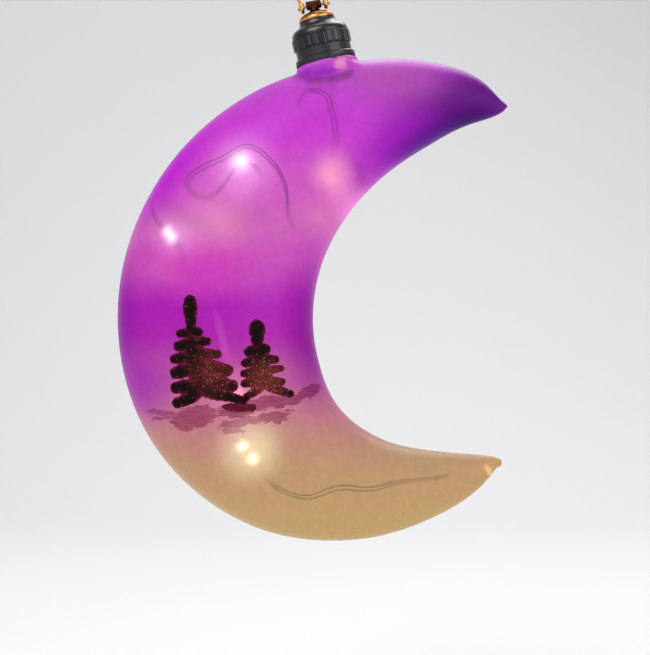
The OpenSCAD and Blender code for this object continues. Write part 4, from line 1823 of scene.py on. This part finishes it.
@dataclass
class NeckFittings:
    """What closes the neck and hangs the moon: seal, cup, cells, switch, cap, finial and loop."""

    # Heights above the rim over which the painted light on the finial's and loop's brass fades to shade.
    dome_low: float = 13.0
    dome_high: float = 15.2
    loop_low: float = 18.0
    loop_high: float = 34.0

    def finishes(self) -> dict[bpy.types.Material, tuple[str, ...]]:
        """Makes the materials of the CAD nodes that keep their shape.

        Returns:
            The nodes that each material dresses.
        """
        return {
            SealRubber().build(): ("neck_seal", "cup_gasket"),
            MouldedPlastic("cup_black", (0.014, 0.012, 0.014)).build(): ("battery_cup",),
            MouldedPlastic("cap_black", (0.011, 0.008, 0.011), rough=0.32, coat=0.35).build(): ("screw_cap",),
            MouldedPlastic("gland_nylon", (0.58, 0.52, 0.42), rough=0.42).build(): ("wire_gland",),
            MouldedPlastic("knob_ivory", (0.66, 0.62, 0.52), rough=0.38).build(): ("switch_knob",),
            MouldedPlastic("resistor_body", (0.02, 0.02, 0.02), rough=0.5, coat=0.0).build(): (
                "limiting_resistor",
            ),
            BoardMask().build(): ("driver_board",),
            BrightMetal("spring_wire", Metal.STEEL, 0.3).build(): ("cell_spring", "loop_pin"),
            BrightMetal("cell_can", Metal.TIN, 0.22, (3.0, 3.0, 1.0)).build(): ("lower_cell", "upper_cell"),
            BrightMetal("contact_strip_brass", Metal.BRASS, 0.28).build(): (
                "contact_strip", "switch_leaf", "top_contact", "finial_nut",
            ),
            BrassLitFromBelow("loop_brass_lit_below", self.loop_low, self.loop_high).build(): ("hanging_loop",),
        }

    def build(self) -> None:
        """Makes the glue and dresses every CAD node of the neck."""
        fit(GlueRun().build(), "moon", "glue", SetGlue().build(), "glue_bead")
        brass = BrassLitFromBelow("finial_brass_lit_below", self.dome_low, self.dome_high).build()
        fit(Finial().build(), "cap", "warm_brass", brass, "finial")
        for material, nodes in self.finishes().items():
            for node in nodes:
                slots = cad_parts[node].data.materials
                slots.clear()
                slots.append(material)
                LOG.info("%s: %s", node, material.name)


# --------------------------------------------------------------------------------------------
# The studio
# --------------------------------------------------------------------------------------------


@dataclass(frozen=True)
class SoftLamp:
    """A square lamp with a soft light: its place and side in metres, and its watts."""

    name: str
    place: Point
    side: float
    watts: float


@dataclass
class Studio:
    """A pale sweep of floor and backdrop, soft lamps, and the camera in front.

    The camera's distance, the height of its view and the point about the bay that it aims at are
    in millimetres. The sweep and the lamps are in metres.
    """

    away: float = 500.0
    frame_h: float = 190.0
    aim: tuple[float, float] = (-31.0, -8.0)
    floor_z: float = -0.25
    floor_side: float = 6.0
    floor_y: float = -1.8
    wall_h: float = 3.2
    bend: float = 0.5
    pale: Colour = (0.86, 0.855, 0.85)
    room: Colour = (0.9, 0.93, 1.0)
    room_light: float = 0.3
    lit: Point = (0.0, 0.0, -0.1)
    soft_lamps: tuple[SoftLamp, ...] = (
        SoftLamp("key", (-0.55, -0.8, 0.65), 0.9, 11.0),
        SoftLamp("fill", (0.8, -0.7, 0.1), 0.9, 5.0),
        SoftLamp("back", (0.2, 0.5, 0.7), 0.7, 6.0),
    )

    def camera(self) -> None:
        """Sets the camera square to the moon's front."""
        data = bpy.data.cameras.new("camera")
        data.sensor_width = 36.0
        data.lens = data.sensor_width * self.away / self.frame_h
        data.clip_start, data.clip_end = 0.01, 20.0
        camera = new_object("camera", data)
        camera.location = BAY + Vector((self.aim[0], -self.away, self.aim[1])) * MM
        camera.rotation_euler = (math.radians(90), 0.0, 0.0)
        bpy.context.scene.camera = camera

    def sweep(self) -> None:
        """Bends one sheet up into a floor and a backdrop."""
        bpy.ops.object.select_all(action="DESELECT")
        bpy.ops.mesh.primitive_plane_add(size=self.floor_side, location=(0.0, self.floor_y, self.floor_z))
        sheet = bpy.context.object
        sheet.name = "studio_sweep"
        behind = {vertex.index for vertex in sheet.data.vertices if vertex.co.y > 0}
        pick_inside(sheet, "EDGE", lambda edge: set(edge.vertices) == behind)
        bpy.ops.mesh.extrude_region_move(TRANSFORM_OT_translate={"value": (0.0, 0.0, self.wall_h)})
        bpy.ops.object.mode_set(mode="OBJECT")
        settle(sheet)
        finish_with(sheet, "BEVEL", width=self.bend, segments=24, limit_method="ANGLE")
        pick(sheet)
        bpy.ops.object.shade_smooth()
        look = NodeSheet("studio_paper")
        grain = look.noise(look.place(scale=1.0), 60.0, 4)
        colour = look.blend(look.fade(grain, 0.3, 0.7, 0.0, 0.05), self.pale, (0.90, 0.895, 0.89))
        sheet.data.materials.append(look.surface(Base_Color=colour, Roughness=0.9))

    def lamps(self) -> None:
        """Hangs three soft lamps and sets the room's own light."""
        for soft in self.soft_lamps:
            data = bpy.data.lights.new(soft.name, "AREA")
            data.size, data.energy = soft.side, soft.watts
            lamp = new_object(soft.name, data)
            lamp.location = soft.place
            towards = Vector(self.lit) - Vector(soft.place)
            lamp.rotation_euler = towards.to_track_quat("-Z", "Y").to_euler()
        world = bpy.data.worlds.new("room")
        bpy.context.scene.world = world
        world.use_nodes = True
        background = world.node_tree.nodes["Background"].inputs
        background["Color"].default_value = (*self.room, 1.0)
        background["Strength"].default_value = self.room_light
        bpy.context.scene.view_settings.view_transform = "Standard"


PINES: tuple[tuple[PaintedPine, GlitterPaint], ...] = (
    (
        PaintedPine(
            "tall_pine",
            leader=(Dab((-68.3, -6.6), (-68.4, 1.1), 2.06), Dab((-68.3, -0.6), (-68.1, -9.3), 1.68)),
            trunk=(
                Dab((-68.4, -8.0), (-65.3, -26.9), 2.9), Dab((-68.6, -21.5), (-60.5, -25.2), 3.8),
                Dab((-70.0, -24.0), (-65.0, -27.0), 2.8),
            ),
            boughs=(
                Dab((-68.3, -9.3), (-72.4, -9.8), 1.3), Dab((-68.6, -9.5), (-64.7, -9.1), 1.44),
                Dab((-67.4, -12.1), (-73.1, -13.6), 1.63), Dab((-67.9, -12.2), (-62.4, -11.7), 1.39),
                Dab((-67.9, -15.9), (-74.2, -17.0), 1.58), Dab((-68.3, -15.0), (-59.6, -15.5), 1.54),
                Dab((-66.9, -19.1), (-74.2, -21.1), 2.02), Dab((-67.9, -17.8), (-56.4, -20.2), 2.06),
                Dab((-66.0, -23.7), (-74.2, -25.1), 1.97), Dab((-66.9, -21.5), (-55.1, -24.6), 2.06),
                Dab((-65.1, -26.4), (-73.7, -29.6), 1.78), Dab((-66.9, -24.8), (-56.8, -27.3), 2.02),
                Dab((-60.0, -26.8), (-52.5, -28.4), 1.3),
            ),
        ),
        GlitterPaint("tall_pine_paint", bright_x=-62.0, bright_z=-20.0, reach=10.0, gleam=0.45),
    ),
    (
        PaintedPine(
            "short_pine",
            leader=(Dab((-49.8, -11.7), (-50.0, -5.7), 2.3), Dab((-50.0, -7.1), (-49.8, -13.7), 1.87)),
            trunk=(Dab((-49.4, -12.6), (-48.2, -24.8), 2.4), Dab((-51.0, -19.5), (-46.0, -23.0), 2.4)),
            boughs=(
                Dab((-49.4, -13.9), (-53.5, -15.1), 1.54), Dab((-50.3, -14.2), (-46.1, -14.1), 1.68),
                Dab((-49.0, -16.8), (-54.3, -18.2), 1.44), Dab((-49.9, -16.8), (-43.7, -17.0), 1.34),
                Dab((-49.0, -20.2), (-54.6, -20.9), 1.25), Dab((-49.4, -20.3), (-42.4, -19.3), 1.15),
                Dab((-48.5, -22.4), (-54.4, -23.8), 1.44), Dab((-49.4, -22.4), (-42.0, -23.3), 1.25),
                Dab((-47.6, -24.0), (-53.6, -27.8), 1.3), Dab((-49.0, -23.8), (-39.7, -26.9), 1.34),
                Dab((-59.8, -30.0), (-50.0, -30.3), 1.35, load=0.5),
            ),
        ),
        GlitterPaint("short_pine_paint", bright_x=-47.0, bright_z=-22.5, reach=8.5, gleam=1.0),
    ),
)


def main() -> None:
    """Builds the studio and every sub-assembly, and reports each piece."""
    logging.basicConfig(level=logging.INFO, format="%(name)s %(message)s")
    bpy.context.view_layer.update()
    studio = Studio()
    studio.camera()
    string = LampString()
    string.build()
    shell = MoonShell().build()
    lamps = tuple((string.lamp_place(lamp), string.lamp_way(lamp), lamp) for lamp in string.lamps)
    fit(shell, "moon", "frosted_glass", TintedGlass(lamps).build(), "moon_shell")
    shell.data.materials.append(clear_wall())
    for face in shell.data.polygons:
        if MoonShell.is_inner(face.center):
            face.material_index = 1
    for pine, paint in PINES:
        fit(pine.build(), "moon", "pine_paint", paint.build(), pine.node)
    NeckFittings().build()
    studio.sweep()
    studio.lamps()


if __name__ == "__main__":
    main()
